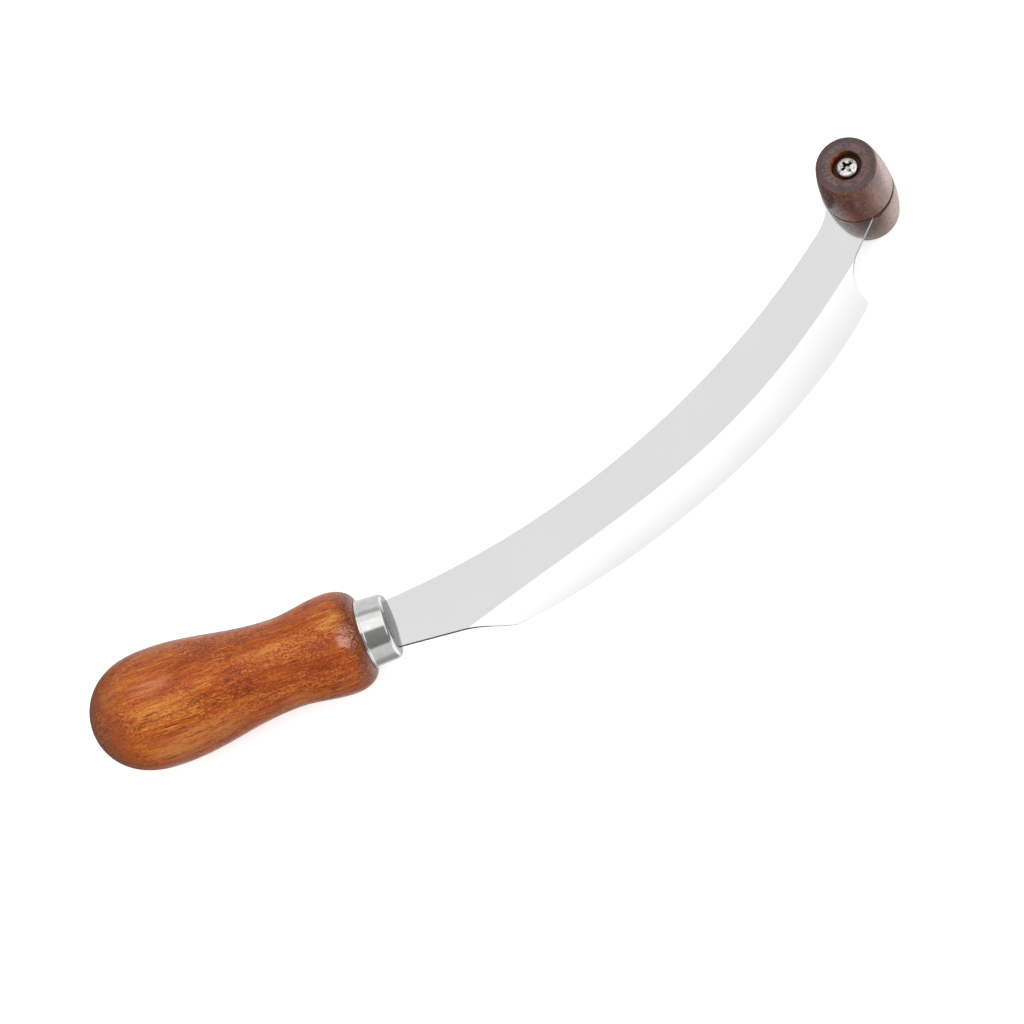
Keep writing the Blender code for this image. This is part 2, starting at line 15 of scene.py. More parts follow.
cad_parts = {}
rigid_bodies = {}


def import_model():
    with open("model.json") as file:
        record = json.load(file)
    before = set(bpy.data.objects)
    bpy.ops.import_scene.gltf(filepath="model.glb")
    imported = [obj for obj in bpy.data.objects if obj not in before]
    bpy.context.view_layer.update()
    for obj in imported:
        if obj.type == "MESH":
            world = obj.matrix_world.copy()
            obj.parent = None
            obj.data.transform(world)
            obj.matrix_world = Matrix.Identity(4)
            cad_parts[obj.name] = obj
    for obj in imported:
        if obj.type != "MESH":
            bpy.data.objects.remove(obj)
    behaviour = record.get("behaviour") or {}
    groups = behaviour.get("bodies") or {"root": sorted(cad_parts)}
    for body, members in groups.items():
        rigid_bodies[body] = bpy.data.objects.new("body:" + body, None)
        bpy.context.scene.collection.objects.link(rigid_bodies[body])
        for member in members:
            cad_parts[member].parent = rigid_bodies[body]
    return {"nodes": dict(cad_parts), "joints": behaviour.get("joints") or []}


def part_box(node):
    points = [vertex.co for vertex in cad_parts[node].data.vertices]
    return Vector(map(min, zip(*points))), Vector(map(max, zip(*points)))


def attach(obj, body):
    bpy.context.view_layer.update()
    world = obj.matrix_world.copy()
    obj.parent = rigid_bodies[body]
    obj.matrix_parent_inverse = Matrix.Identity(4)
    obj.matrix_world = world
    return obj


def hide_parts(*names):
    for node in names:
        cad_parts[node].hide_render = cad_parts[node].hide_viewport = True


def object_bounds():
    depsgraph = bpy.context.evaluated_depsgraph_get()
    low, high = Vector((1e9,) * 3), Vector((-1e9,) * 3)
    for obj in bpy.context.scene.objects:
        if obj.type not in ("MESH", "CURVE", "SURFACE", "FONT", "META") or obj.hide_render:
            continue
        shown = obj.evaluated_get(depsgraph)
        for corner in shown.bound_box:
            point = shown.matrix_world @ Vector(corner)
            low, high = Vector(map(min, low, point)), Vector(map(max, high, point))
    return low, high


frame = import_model()
CAD_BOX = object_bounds()

MM = 0.001  # metres in a millimetre

# Handle
HANDLE_LENGTH = 70.8
BELLY_RADIUS = 13.35
BELLY_FROM_BUTT = 17.3
WAIST_RADIUS = 10.2
WAIST_FROM_BUTT = 45.0
SHOULDER_RADIUS = 11.5
SHOULDER_LENGTH = 6.0
BUTT_FULLNESS = 2.5

# Ferrule
FERRULE_LENGTH = 6.95
FERRULE_FRONT_RADIUS = 7.4
FERRULE_REAR_RADIUS = 7.62
FERRULE_WALL = 0.6
FERRULE_DOME_RADIUS = 36.0
FERRULE_CORNER = 1.3
FERRULE_LIP = 0.2
FERRULE_LIP_LENGTH = 0.7

# Blade
BLADE_THICKNESS = 0.9
EYE = (125.35, 60.66)
ROOT_TOP = 5.93
ROOT_BOTTOM = 5.51
SPINE_SAG = 10.1
HEEL_STRAIGHT = (13.9, -6.73)
HEEL = (26.26, -9.98)
HEEL_LEAD = 4.8
HEEL_RUN_IN = (-4.06, 0.78)
TIP_FROM_EYE = (-6.08, -27.69)
TIP_FLAT = (0.48, 1.5)
NOTCH_RADIUS = 10.96
NOTCH_START_ANGLE = 207.4
NOTCH_END_ANGLE = 145.0
EDGE_BOW = ((0.350, 0.107), (0.246, 0.095))
EYE_RADIUS = 7.9
EYE_OFFSET = 0.35
NECK_TOP_FROM_EYE = (-11.2, -6.81)
NECK_FLARE = ((1.1, 1.0), (-0.4, -1.5))
EYE_START_ANGLE = 195.0
EYE_END_ANGLE = -77.5
BEVEL_START = (15.95, -6.66)
BEVEL_END_FROM_EYE = (-5.9, -16.54)
BEVEL_BOW = ((0.408, 0.0513), (0.414, 0.118))
BEVEL_WIDTH = 9.4
BEVEL_HOLLOW = 1.8
EDGE_THICKNESS = 0.1
KEEN_THICKNESS = 0.02  # of the very edge, after the last sharpening
KEEN_SLOPE = 16.0  # degrees of the narrow sharpened line along the edge
KEEN_NORMAL = 0.985  # bevels face up more than this, and the sharpened line less
WALL_NORMAL = 0.5  # the side walls face up less than this
LEVEL_NORMAL = 0.99999  # the flats face up more than this
SAME_HEIGHT = 0.002 * MM
FLAT_FINISH, BEVEL_FINISH, WALL_FINISH = range(3)  # the blade's materials, in order
SHOULDER_SETBACK = 2.0
TANG_LENGTH = 42.0
TANG_ROOT_WIDTH = 5.2
TANG_TIP_WIDTH = 3.6
BORE_RADIUS = 3.1
BORE_DEPTH = 45.0
DRILL_POINT = 1.8

# Cross grip
GRIP_LENGTH = 26.7
GRIP_MIDDLE_RADIUS = 7.95
GRIP_END_RADIUS = 6.75
GRIP_BARREL = 2.3
GRIP_END_ROUND = 0.65
GRIP_PART_CHAMFER = 0.25
COUNTERBORE_RADIUS = 3.4
COUNTERBORE_BREAK = 0.22  # the counterbore's rounded mouth
HEAD_COUNTERBORE_DEPTH = 2.6
NUT_COUNTERBORE_DEPTH = 4.8
CHIP_PLACE = (2.75, -7.45, -0.75)
CHIP_HEIGHT = 1.0
CHIP_WIDTH = 1.44

# Screw, nut and washer, as heights from the blade's mid-plane
SCREW_RADIUS = 1.25
HEAD_SEAT = 10.85
HEAD_RADIUS = 2.45
HEAD_HEIGHT = 1.9
HEAD_DOME = 0.6
HEAD_FULLNESS = 0.6
HEAD_EDGE = 0.15
RECESS_WIDTH = 3.1
RECESS_FLOOR_WIDTH = 1.1
RECESS_ARM = 0.7
RECESS_FLOOR_ARM = 0.4
RECESS_DEPTH = 1.15
RECESS_CONE_TOP = 0.8  # radius of the cone in the middle of the cross
RECESS_CONE_FLOOR = 0.5
RECESS_POINT = 0.15
RECESS_TURN = 20.0
THREAD_PITCH = 0.45
THREAD_DEPTH = 0.2
LEAD_DEPTH = 0.35  # of the taper at the screw's end
LEAD_LENGTH = 0.5
SCREW_END = -11.55
NUT_FLATS = 5.0
NUT_TOP = -9.25
NUT_BOTTOM = -11.25
NUT_CHAMFER_ANGLE = 30.0
WASHER_TOP = -8.65
WASHER_RADIUS = 3.0
WASHER_THICKNESS = 0.5

FACE_GAP = 0.1
SEATED_GAP = 0.02  # between the ferrule's rear and the wood that it is pressed against
SLOT_GAP = 0.15
HOLE_GAP = 0.08
CUTTER_REACH = 0.2

CREST_FROM_BUTT = HANDLE_LENGTH - FERRULE_LENGTH - SEATED_GAP - SHOULDER_LENGTH

CORNERS = [(-1, -1), (1, -1), (1, 1), (-1, 1)]
FINE_STEPS = 160  # round the turned pieces
SMALL_STEPS = 64  # round the screw, nut, washer and bores

# Where the knife and the cross grip are, from the CAD
HANDLE_LOW, HANDLE_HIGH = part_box("handle")
AXIS_MIDDLE = (HANDLE_LOW + HANDLE_HIGH) / 2
KNIFE_PLACE = Vector((HANDLE_LOW.x + HANDLE_LENGTH * MM, AXIS_MIDDLE.y, AXIS_MIDDLE.z))
GRIP_PLACE = Vector(frame["joints"][0]["pos_m"])
KNIFE_BODY = frame["joints"][0]["parent"]
GRIP_BODY = frame["joints"][0]["child"]


# ---------------------------------------------------------------- curves


def spread(start, end, steps):
    """Evenly spaced values, both ends included."""
    return [start + (end - start) * i / steps for i in range(steps + 1)]


def arc(centre, radius, start, end, steps):
    """Points on an arc between two angles in degrees, both ends included."""
    angles = [math.radians(angle) for angle in spread(start, end, steps)]
    return [(centre[0] + radius * math.cos(a), centre[1] + radius * math.sin(a)) for a in angles]


def sagged_arc(start, end, sag, steps):
    """Points on the arc from start to end that bows sag to the right of its chord."""
    chord = Vector(end) - Vector(start)
    radius = (chord.length**2 / 4 + sag**2) / (2 * sag)
    left = Vector((-chord.y, chord.x)).normalized()
    centre = (Vector(start) + Vector(end)) / 2 + left * (radius - sag)
    angles = [math.degrees(math.atan2(p[1] - centre.y, p[0] - centre.x)) for p in (start, end)]
    return arc(centre, radius, *angles, steps)


def bezier(a, b, c, d, steps):
    points = []
    for t in spread(0, 1, steps):
        u = 1 - t
        weights = (u**3, 3 * u * u * t, 3 * u * t * t, t**3)
        points.append(tuple(sum(w * p[k] for w, p in zip(weights, (a, b, c, d))) for k in (0, 1)))
    return points


def bowed(start, end, bow, steps):
    """A cubic from start to end whose handles stand to the right of the chord, as shares of it."""
    first, last = Vector(start), Vector(end)
    along = last - first
    right = Vector((along.y, -along.x))
    near = first + along * bow[0][0] + right * bow[0][1]
    far = last - along * bow[1][0] + right * bow[1][1]
    return bezier(first, near, far, last, steps)


def from_eye(offset):
    return (EYE[0] + offset[0], EYE[1] + offset[1])


# ---------------------------------------------------------------- meshes


def both_ways(profile):
    """A turned piece's profile of (along, radius), followed by its mirror image."""
    return profile + [(-along, radius) for along, radius in reversed(profile)]


def new_object(name, solid, place, materials):
    """An object made from a finished bmesh, with its outside facing out."""
    bmesh.ops.recalc_face_normals(solid, faces=solid.faces)
    mesh = bpy.data.meshes.new(name)
    solid.to_mesh(mesh)
    solid.free()
    for each in materials:
        mesh.materials.append(each)
    obj = bpy.data.objects.new(name, mesh)
    obj.location = place
    bpy.context.scene.collection.objects.link(obj)
    return obj


def turned(name, profile, place, materials, steps=FINE_STEPS, closed=False, along_x=False, finish=None):
    """A turned piece: profile is (along, radius) from its front end, down its outer side.

    finish gives the material number of each length of the profile.
    """
    solid = bmesh.new()
    angles = [2 * math.pi * k / steps for k in range(steps)]
    rings = []
    for along, radius in profile:
        points = [(radius * math.cos(a), radius * math.sin(a), along) for a in angles]
        if along_x:
            points = [(z, x, y) for x, y, z in points]
        if radius < 0.0001:
            rings.append([solid.verts.new(Vector(points[0]) * MM)] * steps)
        else:
            rings.append([solid.verts.new(Vector(p) * MM) for p in points])
    count = len(rings)
    for i in range(count if closed else count - 1):
        upper, lower = rings[i], rings[(i + 1) % count]
        for k in range(steps):
            after = (k + 1) % steps
            corners = list(dict.fromkeys((upper[k], lower[k], lower[after], upper[after])))
            if len(corners) < 3:
                continue
            face = solid.faces.new(corners)
            face.material_index = finish[i] if finish else 0
    return new_object(name, solid, place, materials)


def plate(name, outline, thickness, place, materials):
    """A flat piece: a closed outline in the XY plane, half its thickness to each side."""
    solid = bmesh.new()
    half = thickness / 2
    upper = [solid.verts.new(Vector((x, y, half)) * MM) for x, y in outline]
    lower = [solid.verts.new(Vector((x, y, -half)) * MM) for x, y in outline]
    solid.faces.new(upper)
    solid.faces.new(lower[::-1])
    for i in range(len(outline)):
        j = (i + 1) % len(outline)
        solid.faces.new((upper[i], lower[i], lower[j], upper[j]))
    return new_object(name, solid, place, materials)


def block(name, low, high, place):
    """A cutting block between two corners."""
    outline = [(low[0], low[1]), (high[0], low[1]), (high[0], high[1]), (low[0], high[1])]
    made = plate(name, outline, high[2] - low[2], place, [])
    middle = (low[2] + high[2]) / 2
    made.data.transform(Matrix.Translation((0, 0, middle * MM)))
    return made


def loft(name, sections, place):
    """A cutting solid through closed sections of equal point count, capped at both ends."""
    solid = bmesh.new()
    rings = [[solid.verts.new(Vector(p) * MM) for p in section] for section in sections]
    count = len(sections[0])
    for ring, after in zip(rings, rings[1:]):
        for i in range(count):
            j = (i + 1) % count
            solid.faces.new((ring[i], ring[j], after[j], after[i]))
    solid.faces.new(rings[0])
    solid.faces.new(rings[-1])
    return new_object(name, solid, place, [])


def cut(obj, cutters, operation="DIFFERENCE"):
    """Applies the cutters to the object and removes them."""
    for cutter in cutters:
        boolean = obj.modifiers.new(cutter.name, "BOOLEAN")
        boolean.operation = operation
        boolean.solver = "EXACT"
        boolean.object = cutter
        boolean.material_mode = "TRANSFER" if cutter.data.materials else "INDEX"
    bpy.context.view_layer.update()
    graph = bpy.context.evaluated_depsgraph_get()
    mesh = bpy.data.meshes.new_from_object(obj.evaluated_get(graph))
    obj.modifiers.clear()
    old = obj.data
    obj.data = mesh
    bpy.data.meshes.remove(old)
    for cutter in cutters:
        bpy.data.objects.remove(cutter, do_unlink=True)


def shade(obj, angle):
    """Smooth shading, with creases where faces meet at more than the angle in degrees."""
    obj.data.shade_smooth()
    obj.data.set_sharp_from_angle(angle=math.radians(angle))


def stand_for(obj, body, node):
    """Puts a finished piece on its CAD body, in place of its CAD node."""
    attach(obj, body)
    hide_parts(node)


# ---------------------------------------------------------------- node trees


def srgb(red, green, blue):
    """A colour given as it looks on a screen, 0 to 255, as the linear numbers that shaders use."""
    linear = []
    for value in (red, green, blue):
        share = value / 255
        linear.append(share / 12.92 if share <= 0.04045 else ((share + 0.055) / 1.055) ** 2.4)
    return (*linear, 1.0)


def grey(level):
    return (level, level, level, 1.0)


class Tree:
    """Short calls that build one node tree. A value is a socket or a constant."""

    def __init__(self, tree):
        self.tree = tree

    def node(self, kind, **settings):
        made = self.tree.nodes.new(kind)
        for name, value in settings.items():
            setattr(made, name, value)
        return made

    def feed(self, socket, value):
        if isinstance(value, bpy.types.NodeSocket):
            self.tree.links.new(value, socket)
        else:
            socket.default_value = value

    def maths(self, operation, *values):
        made = self.node("ShaderNodeMath", operation=operation)
        for socket, value in zip(made.inputs, values):
            self.feed(socket, value)
        return made.outputs[0]

    def vector(self, operation, *values):
        made = self.node("ShaderNodeVectorMath", operation=operation)
        for socket, value in zip(made.inputs, values):
            self.feed(socket, value)
        return made.outputs["Value" if operation in ("LENGTH", "DISTANCE", "DOT_PRODUCT") else "Vector"]

    def product(self, first, second):
        return self.maths("MULTIPLY", first, second)

    def plus(self, value, extra, share):
        """The value with a share of another added to it."""
        return self.maths("ADD", value, self.product(extra, share))

    def axes(self, vector):
        made = self.node("ShaderNodeSeparateXYZ")
        self.feed(made.inputs[0], vector)
        return made.outputs

    def place(self):
        """Where a point is on its own piece, in millimetres."""
        coordinates = self.node("ShaderNodeTexCoord").outputs["Object"]
        return self.vector("MULTIPLY", coordinates, (1 / MM, 1 / MM, 1 / MM))

    def drifting(self, place, sizes, reach):
        """The place, shifted by slow noise so that the grain wanders by up to half the reach."""
        drift = self.noise(place, sizes, detail=2.0, colour=True)
        drift = self.vector("MULTIPLY", self.vector("SUBTRACT", drift, (0.5, 0.5, 0.5)), reach)
        return self.vector("ADD", place, drift)

    def noise(self, place, stretch, detail=3.0, rough=0.55, bend=0.0, colour=False):
        """Fractal noise whose coarsest lumps have the sizes in stretch, in millimetres."""
        scaled = self.vector("DIVIDE", place, stretch)
        made = self.node("ShaderNodeTexNoise")
        self.feed(made.inputs["Vector"], scaled)
        made.inputs["Scale"].default_value = 1.0
        made.inputs["Detail"].default_value = detail
        made.inputs["Roughness"].default_value = rough
        made.inputs["Distortion"].default_value = bend
        return made.outputs[1 if colour else 0]

    def remap(self, value, low, high, to_low=0.0, to_high=1.0, smooth=True):
        made = self.node("ShaderNodeMapRange")
        made.interpolation_type = "SMOOTHSTEP" if smooth else "LINEAR"
        for socket, each in zip(made.inputs, (value, low, high, to_low, to_high)):
            self.feed(socket, each)
        return made.outputs[0]

    def ramp(self, value, stops):
        made = self.node("ShaderNodeValToRGB")
        elements = made.color_ramp.elements
        while len(elements) < len(stops):
            elements.new(0.5)
        for element, (position, colour) in zip(elements, stops):
            element.position = position
            element.color = colour
        self.feed(made.inputs[0], value)
        return made.outputs[0]

    def mix(self, share, first, second):
        made = self.node("ShaderNodeMix", data_type="RGBA")
        self.feed(made.inputs[0], share)
        self.feed(made.inputs[6], first)
        self.feed(made.inputs[7], second)
        return made.outputs[2]

    def stain(self, colour, mask, strength, tint):
        """The colour, turned towards the tint where the mask is 1, by the strength."""
        return self.mix(self.product(mask, strength), colour, tint)

    def bump(self, height, distance, strength=1.0, over=None):
        """A normal from a height of 0 to 1, worth a distance in millimetres."""
        made = self.node("ShaderNodeBump")
        made.inputs["Strength"].default_value = strength
        made.inputs["Distance"].default_value = distance * MM
        self.feed(made.inputs["Height"], height)
        if over is not None:
            self.feed(made.inputs["Normal"], over)
        return made.outputs[0]


class Surface(Tree):
    """The node tree of a new material, with its shader."""

    def __init__(self, name):
        self.material = bpy.data.materials.new(name)
        self.material.use_nodes = True
        self.material.node_tree.nodes.clear()
        super().__init__(self.material.node_tree)
        self.shader = self.node("ShaderNodeBsdfPrincipled")
        output = self.node("ShaderNodeOutputMaterial")
        self.feed(output.inputs["Surface"], self.shader.outputs["BSDF"])

    def set(self, name, value):
        """Gives one of the shader's sockets its value."""
        self.feed(self.shader.inputs[name], value)


# ---------------------------------------------------------------- wood


def spot(tree, place, centre, reach):
    """1 at a place on the piece, fading to 0 at the reach in millimetres along X, Y and Z."""
    offset = tree.vector("DIVIDE", tree.vector("SUBTRACT", place, centre), reach)
    return tree.remap(tree.vector("LENGTH", offset), 0.25, 1.0, 1.0, 0.0)


def streaky_tone(tree, grain, parts):
    """A 0 to 1 tone from layered noise: parts are (sizes in millimetres, weight, contrast)."""
    tone = None
    for sizes, weight, contrast in parts:
        layer = tree.noise(grain, sizes, detail=3.0, rough=0.6)
        half = 0.5 / contrast
        layer = tree.product(tree.remap(layer, 0.5 - half, 0.5 + half, smooth=False), weight)
        tone = layer if tone is None else tree.maths("ADD", tone, layer)
    return tone


def growth_rings(tree, grain, pith, spacing, lean):
    """0 in the early wood and 1 in the late wood of rings round a leaning pith."""
    offset = tree.vector("MULTIPLY", tree.vector("SUBTRACT", grain, pith), (lean, 1, 1))
    wobble = tree.noise(grain, (22, 4, 4), detail=3.0)
    distance = tree.plus(tree.vector("LENGTH", offset), wobble, 2.4)
    return tree.remap(tree.maths("PINGPONG", distance, spacing), 0.0, spacing)


# Broad colour changes in the handle, and one painted highlight: place and reach in millimetres, colour,
# strength
HANDLE_PATCHES_AND_HIGHLIGHT = [
    ((-53, -6, 13), (12, 3.6, 6), (222, 146, 62), 0.7),  # golden, along the belly
    ((-61, 2, 11), (9, 2.5, 5), (212, 138, 62), 0.5),  # golden, above the butt
    ((-48, -12, 5), (18, 4, 6), (212, 132, 66), 0.75),  # golden, low on the belly
    ((-54, 0, 13), (7, 3, 4), (206, 132, 92), 0.6),  # dull tan, on top of the belly
    ((-31, -5, 9), (15, 4.5, 5), (150, 54, 8), 0.8),  # deep orange-red, at the waist
    ((-17, -6, 9), (8, 5, 6), (142, 48, 6), 0.85),  # deep orange-red, before the shoulder
    ((-12, 1, 11), (5, 3, 4), (226, 158, 74), 0.7),  # pale, on the shoulder
    ((-27, 0, 10), (12, 2.2, 4), (214, 132, 58), 0.6),  # pale, along the top of the waist
    ((-24, -11, 2), (8, 3, 5), (208, 130, 60), 0.6),  # pale, low on the waist
    ((-40, 4, 11), (12, 3.5, 4), (150, 66, 24), 0.6),  # red-brown, along the top
    ((-9.3, -3.6, 10.2), (3.4, 4.2, 3.4), (226, 176, 160), 0.75),  # painted highlight, pinkish, on the shoulder
    ((-64, -9, 8), (5, 6, 5), (176, 76, 26), 0.5),  # red-brown, round the butt
]


# Wood tones along the 0 to 1 grain
HANDLE_TONES = [
    (0.08, srgb(112, 40, 4)),
    (0.36, srgb(160, 66, 6)),
    (0.62, srgb(188, 92, 16)),
    (0.94, srgb(226, 150, 66)),
]
GRIP_TONES = [
    (0.12, srgb(54, 26, 20)),
    (0.42, srgb(88, 46, 32)),
    (0.64, srgb(116, 62, 40)),
    (0.92, srgb(152, 86, 54)),
]

# Layers of streaks: sizes in millimetres, weight, contrast
HANDLE_STREAKS = [((30, 5, 5), 0.18, 2.4), ((20, 0.8, 0.8), 0.32, 2.8), ((5.0, 0.22, 0.22), 0.36, 3.0)]
GRIP_STREAKS = [((4, 4, 9), 0.34, 2.2), ((0.9, 0.9, 8), 0.36, 2.0), ((0.28, 0.28, 3), 0.3, 1.8)]


def handle_figure(tree, place, grain):
    """The handle's streaks, growth rings and broad patches, torn along the grain, with a painted highlight
    on the shoulder.
    """
    tone = streaky_tone(tree, grain, HANDLE_STREAKS)
    rings = growth_rings(tree, grain, (0, -5.0, -21.0), 1.1, 0.05)
    colour = tree.ramp(tree.plus(tone, rings, 0.14), HANDLE_TONES)
    torn = tree.remap(tree.noise(grain, (9, 1.2, 1.2), detail=4.0), 0.36, 0.6, 0.15, 1.0)
    for centre, reach, tint, strength in HANDLE_PATCHES_AND_HIGHLIGHT:
        mask = tree.product(spot(tree, place, centre, reach), torn)
        colour = tree.stain(colour, mask, strength, srgb(*tint))
    return colour


def handle_ends(tree, place, mottle, colour):
    """Darkens the butt, and the shoulder beside the ferrule, where the turning burnt it."""
    along = tree.axes(place)[0]
    butt = tree.remap(along, -HANDLE_LENGTH + 12, -HANDLE_LENGTH + 1)
    butt_tone = tree.mix(tree.remap(mottle, 0.4, 0.58), srgb(66, 28, 18), srgb(158, 92, 62))
    colour = tree.stain(colour, butt, 0.8, butt_tone)
    shoulder = tree.remap(tree.plus(along, mottle, 4.0), -9.5, -5.4)
    burnt = tree.product(shoulder, tree.remap(mottle, 0.4, 0.58, 0.3, 1.0))
    return tree.stain(colour, burnt, 0.85, srgb(72, 38, 32))


def handle_wood():
    """Orange-brown hardwood, streaked along the handle, with dark pores under a satin lacquer."""
    tree = Surface("handle_wood")
    place = tree.place()
    grain = tree.drifting(place, (40, 14, 14), (0, 4.5, 4.5))
    colour = handle_figure(tree, place, grain)

    mottle = tree.noise(place, (0.62, 0.36, 0.36), detail=3.0, rough=0.75)
    mottle_zone = tree.remap(tree.noise(place, (20, 8, 8), detail=2.0), 0.42, 0.6, 0.4, 1.0)
    dark_specks = tree.product(tree.remap(mottle, 0.5, 0.6), mottle_zone)
    pale_specks = tree.product(tree.remap(mottle, 0.46, 0.37), mottle_zone)
    colour = tree.stain(colour, dark_specks, 0.7, srgb(106, 38, 8))
    colour = tree.stain(colour, pale_specks, 0.42, srgb(228, 150, 88))
    pores = tree.remap(tree.noise(place, (3.6, 0.3, 0.3), detail=0.0), 0.62, 0.72)
    pore_zone = tree.remap(tree.noise(grain, (12, 2.4, 2.4), detail=2.0), 0.48, 0.6, 0.1, 1.0)
    pores = tree.product(pores, pore_zone)
    colour = tree.stain(colour, pores, 0.7, srgb(100, 42, 12))
    tree.set("Base Color", handle_ends(tree, place, mottle, colour))

    gloss = tree.remap(tree.noise(place, (7, 3, 3), detail=3.0), 0.35, 0.65, 0.30, 0.42)
    tree.set("Roughness", tree.plus(gloss, dark_specks, 0.12))
    tree.set("Specular IOR Level", 0.27)
    tree.set("Coat Weight", 0.08)
    tree.set("Coat Roughness", 0.16)
    fibres = tree.noise(grain, (5, 0.3, 0.3), detail=2.0)
    normal = tree.bump(fibres, 0.02, 0.7)
    normal = tree.bump(mottle, 0.035, 0.8, normal)
    normal = tree.bump(tree.maths("SUBTRACT", 1.0, pores), 0.06, 0.9, normal)
    tree.set("Normal", normal)
    ripple = tree.noise(place, (2.0, 1.4, 1.4), detail=2.0)
    tree.set("Coat Normal", tree.bump(ripple, 0.03, 0.6))
    return tree.material


# Broad colour changes in the grip, and painted sheen on its right: place from its middle and reach in
# millimetres, colour, strength
GRIP_PATCHES_AND_SHEEN = [
    ((-3, -7, 3), (3, 4, 5), (132, 58, 22), 0.75),  # orange glow, above the split
    ((4, -7, 6), (4, 4, 6), (142, 86, 62), 0.6),  # lighter, right of the middle
    ((3, -7, -9), (5, 4, 5), (150, 92, 66), 0.6),  # lighter, on the lower half
    ((-5, -5, 8), (3, 4, 6), (58, 36, 38), 0.7),  # dark, left of the middle
    ((7.5, -1, 7), (4, 6, 10), (212, 172, 160), 0.9),  # painted sheen, pale, on the right
    ((6.5, -3, -6), (6, 8, 10), (190, 142, 116), 0.85),  # painted sheen, pale, on the lower half's right
]


def grip_figure(tree, place, grain, mottle):
    """The barrel's streaks, patches and specks, with painted sheen on the right."""
    colour = tree.ramp(streaky_tone(tree, grain, GRIP_STREAKS), GRIP_TONES)
    for centre, reach, tint, strength in GRIP_PATCHES_AND_SHEEN:
        colour = tree.stain(colour, spot(tree, place, centre, reach), strength, srgb(*tint))
    colour = tree.stain(colour, tree.remap(mottle, 0.5, 0.6), 0.6, srgb(52, 30, 28))
    return tree.stain(colour, tree.remap(mottle, 0.46, 0.36), 0.4, srgb(168, 116, 96))


def grip_ends(tree, place, mottle, colour):
    """End grain: cloudy and greyer, with a dark ring inside and out, and a rubbed rim."""
    facing = tree.axes(tree.node("ShaderNodeNewGeometry").outputs["Normal"])[2]
    end_grain = tree.remap(tree.maths("ABSOLUTE", facing), 0.75, 0.97)
    clouds = tree.remap(tree.noise(place, (4.5, 4.5, 4.5), detail=3.0), 0.34, 0.62)
    end_tone = tree.mix(clouds, srgb(46, 31, 31), srgb(102, 70, 64))
    end_tone = tree.stain(end_tone, tree.remap(mottle, 0.5, 0.6), 0.75, srgb(42, 28, 28))
    end_tone = tree.stain(end_tone, tree.remap(mottle, 0.46, 0.36), 0.5, srgb(134, 98, 90))
    colour = tree.stain(colour, end_grain, 0.92, end_tone)
    radius = tree.vector("LENGTH", tree.vector("MULTIPLY", place, (1, 1, 0)))
    radius = tree.plus(radius, clouds, 0.35)
    inner_ring = tree.product(tree.remap(radius, 4.3, 3.6), end_grain)
    colour = tree.stain(colour, inner_ring, 0.6, srgb(52, 36, 36))
    outer_ring = tree.product(tree.remap(radius, 5.2, 5.9), end_grain)
    colour = tree.stain(colour, outer_ring, 0.75, srgb(50, 34, 34))
    rim = tree.product(tree.remap(end_grain, 0.0, 0.25), tree.remap(end_grain, 0.9, 0.4))
    return tree.stain(colour, rim, 0.45, srgb(132, 98, 90))


def dark_wood():
    """Dark reddish-brown hardwood, stained and waxed, with the grain up the grip's axis."""
    tree = Surface("grip_wood")
    place = tree.place()
    grain = tree.drifting(place, (8, 8, 18), (3, 3, 0))
    mottle = tree.noise(place, (0.55, 0.55, 0.7), detail=3.0, rough=0.7)
    colour = grip_ends(tree, place, mottle, grip_figure(tree, place, grain, mottle))
    height = tree.plus(tree.maths("ABSOLUTE", tree.axes(place)[2]), mottle, 0.9)
    rubbed = spot(tree, place, (-1.0, -7.8, 0.6), (6, 5, 2))
    worn = tree.product(tree.remap(height, 1.6, 1.1), rubbed)
    tree.set("Base Color", tree.stain(colour, worn, 0.85, srgb(150, 72, 32)))
    tree.set("Roughness", tree.remap(mottle, 0.35, 0.65, 0.22, 0.38))
    tree.set("Specular IOR Level", 0.6)
    fibres = tree.noise(grain, (0.25, 0.25, 3), detail=2.0)
    normal = tree.bump(fibres, 0.02, 0.7)
    tree.set("Normal", tree.bump(mottle, 0.03, 0.7, normal))
    return tree.material


def raw_wood():
    """Unstained orange wood, where a drill or a chip has gone through the stain, with painted shade in the
    upper half's counterbore: darker towards +X and towards its floor.
    """
    tree = Surface("grip_wood_cut")
    place = tree.place()
    fibres = tree.noise(place, (0.4, 0.4, 2.4), detail=3.0)
    rings = tree.noise(place, (3, 3, 0.3), detail=2.0)
    tone = tree.plus(tree.product(fibres, 0.6), rings, 0.4)
    tones = [(0.35, srgb(92, 40, 14)), (0.52, srgb(150, 76, 30)), (0.68, srgb(196, 118, 58))]
    height = tree.axes(place)[2]
    # painted shade: the counterbore's wall goes dark towards +X and from partway down towards its floor and
    # the screw's hole
    shaded_side = tree.remap(tree.vector("DOT_PRODUCT", place, (0.93, -0.26, 0.0)), -2.6, 0.6)
    deep = tree.remap(height, GRIP_LENGTH / 2 - 0.9, GRIP_LENGTH / 2 - 1.9)
    counterbored = tree.remap(height, 2.0, 4.0)
    counterbore_shade = tree.product(tree.maths("MAXIMUM", shaded_side, deep), counterbored)
    tree.set("Base Color", tree.stain(tree.ramp(tone, tones), counterbore_shade, 0.88, srgb(44, 24, 18)))
    tree.set("Roughness", tree.plus(0.45, fibres, 0.2))
    tree.set("Normal", tree.bump(rings, 0.05, 0.6))
    return tree.material


# ---------------------------------------------------------------- metal


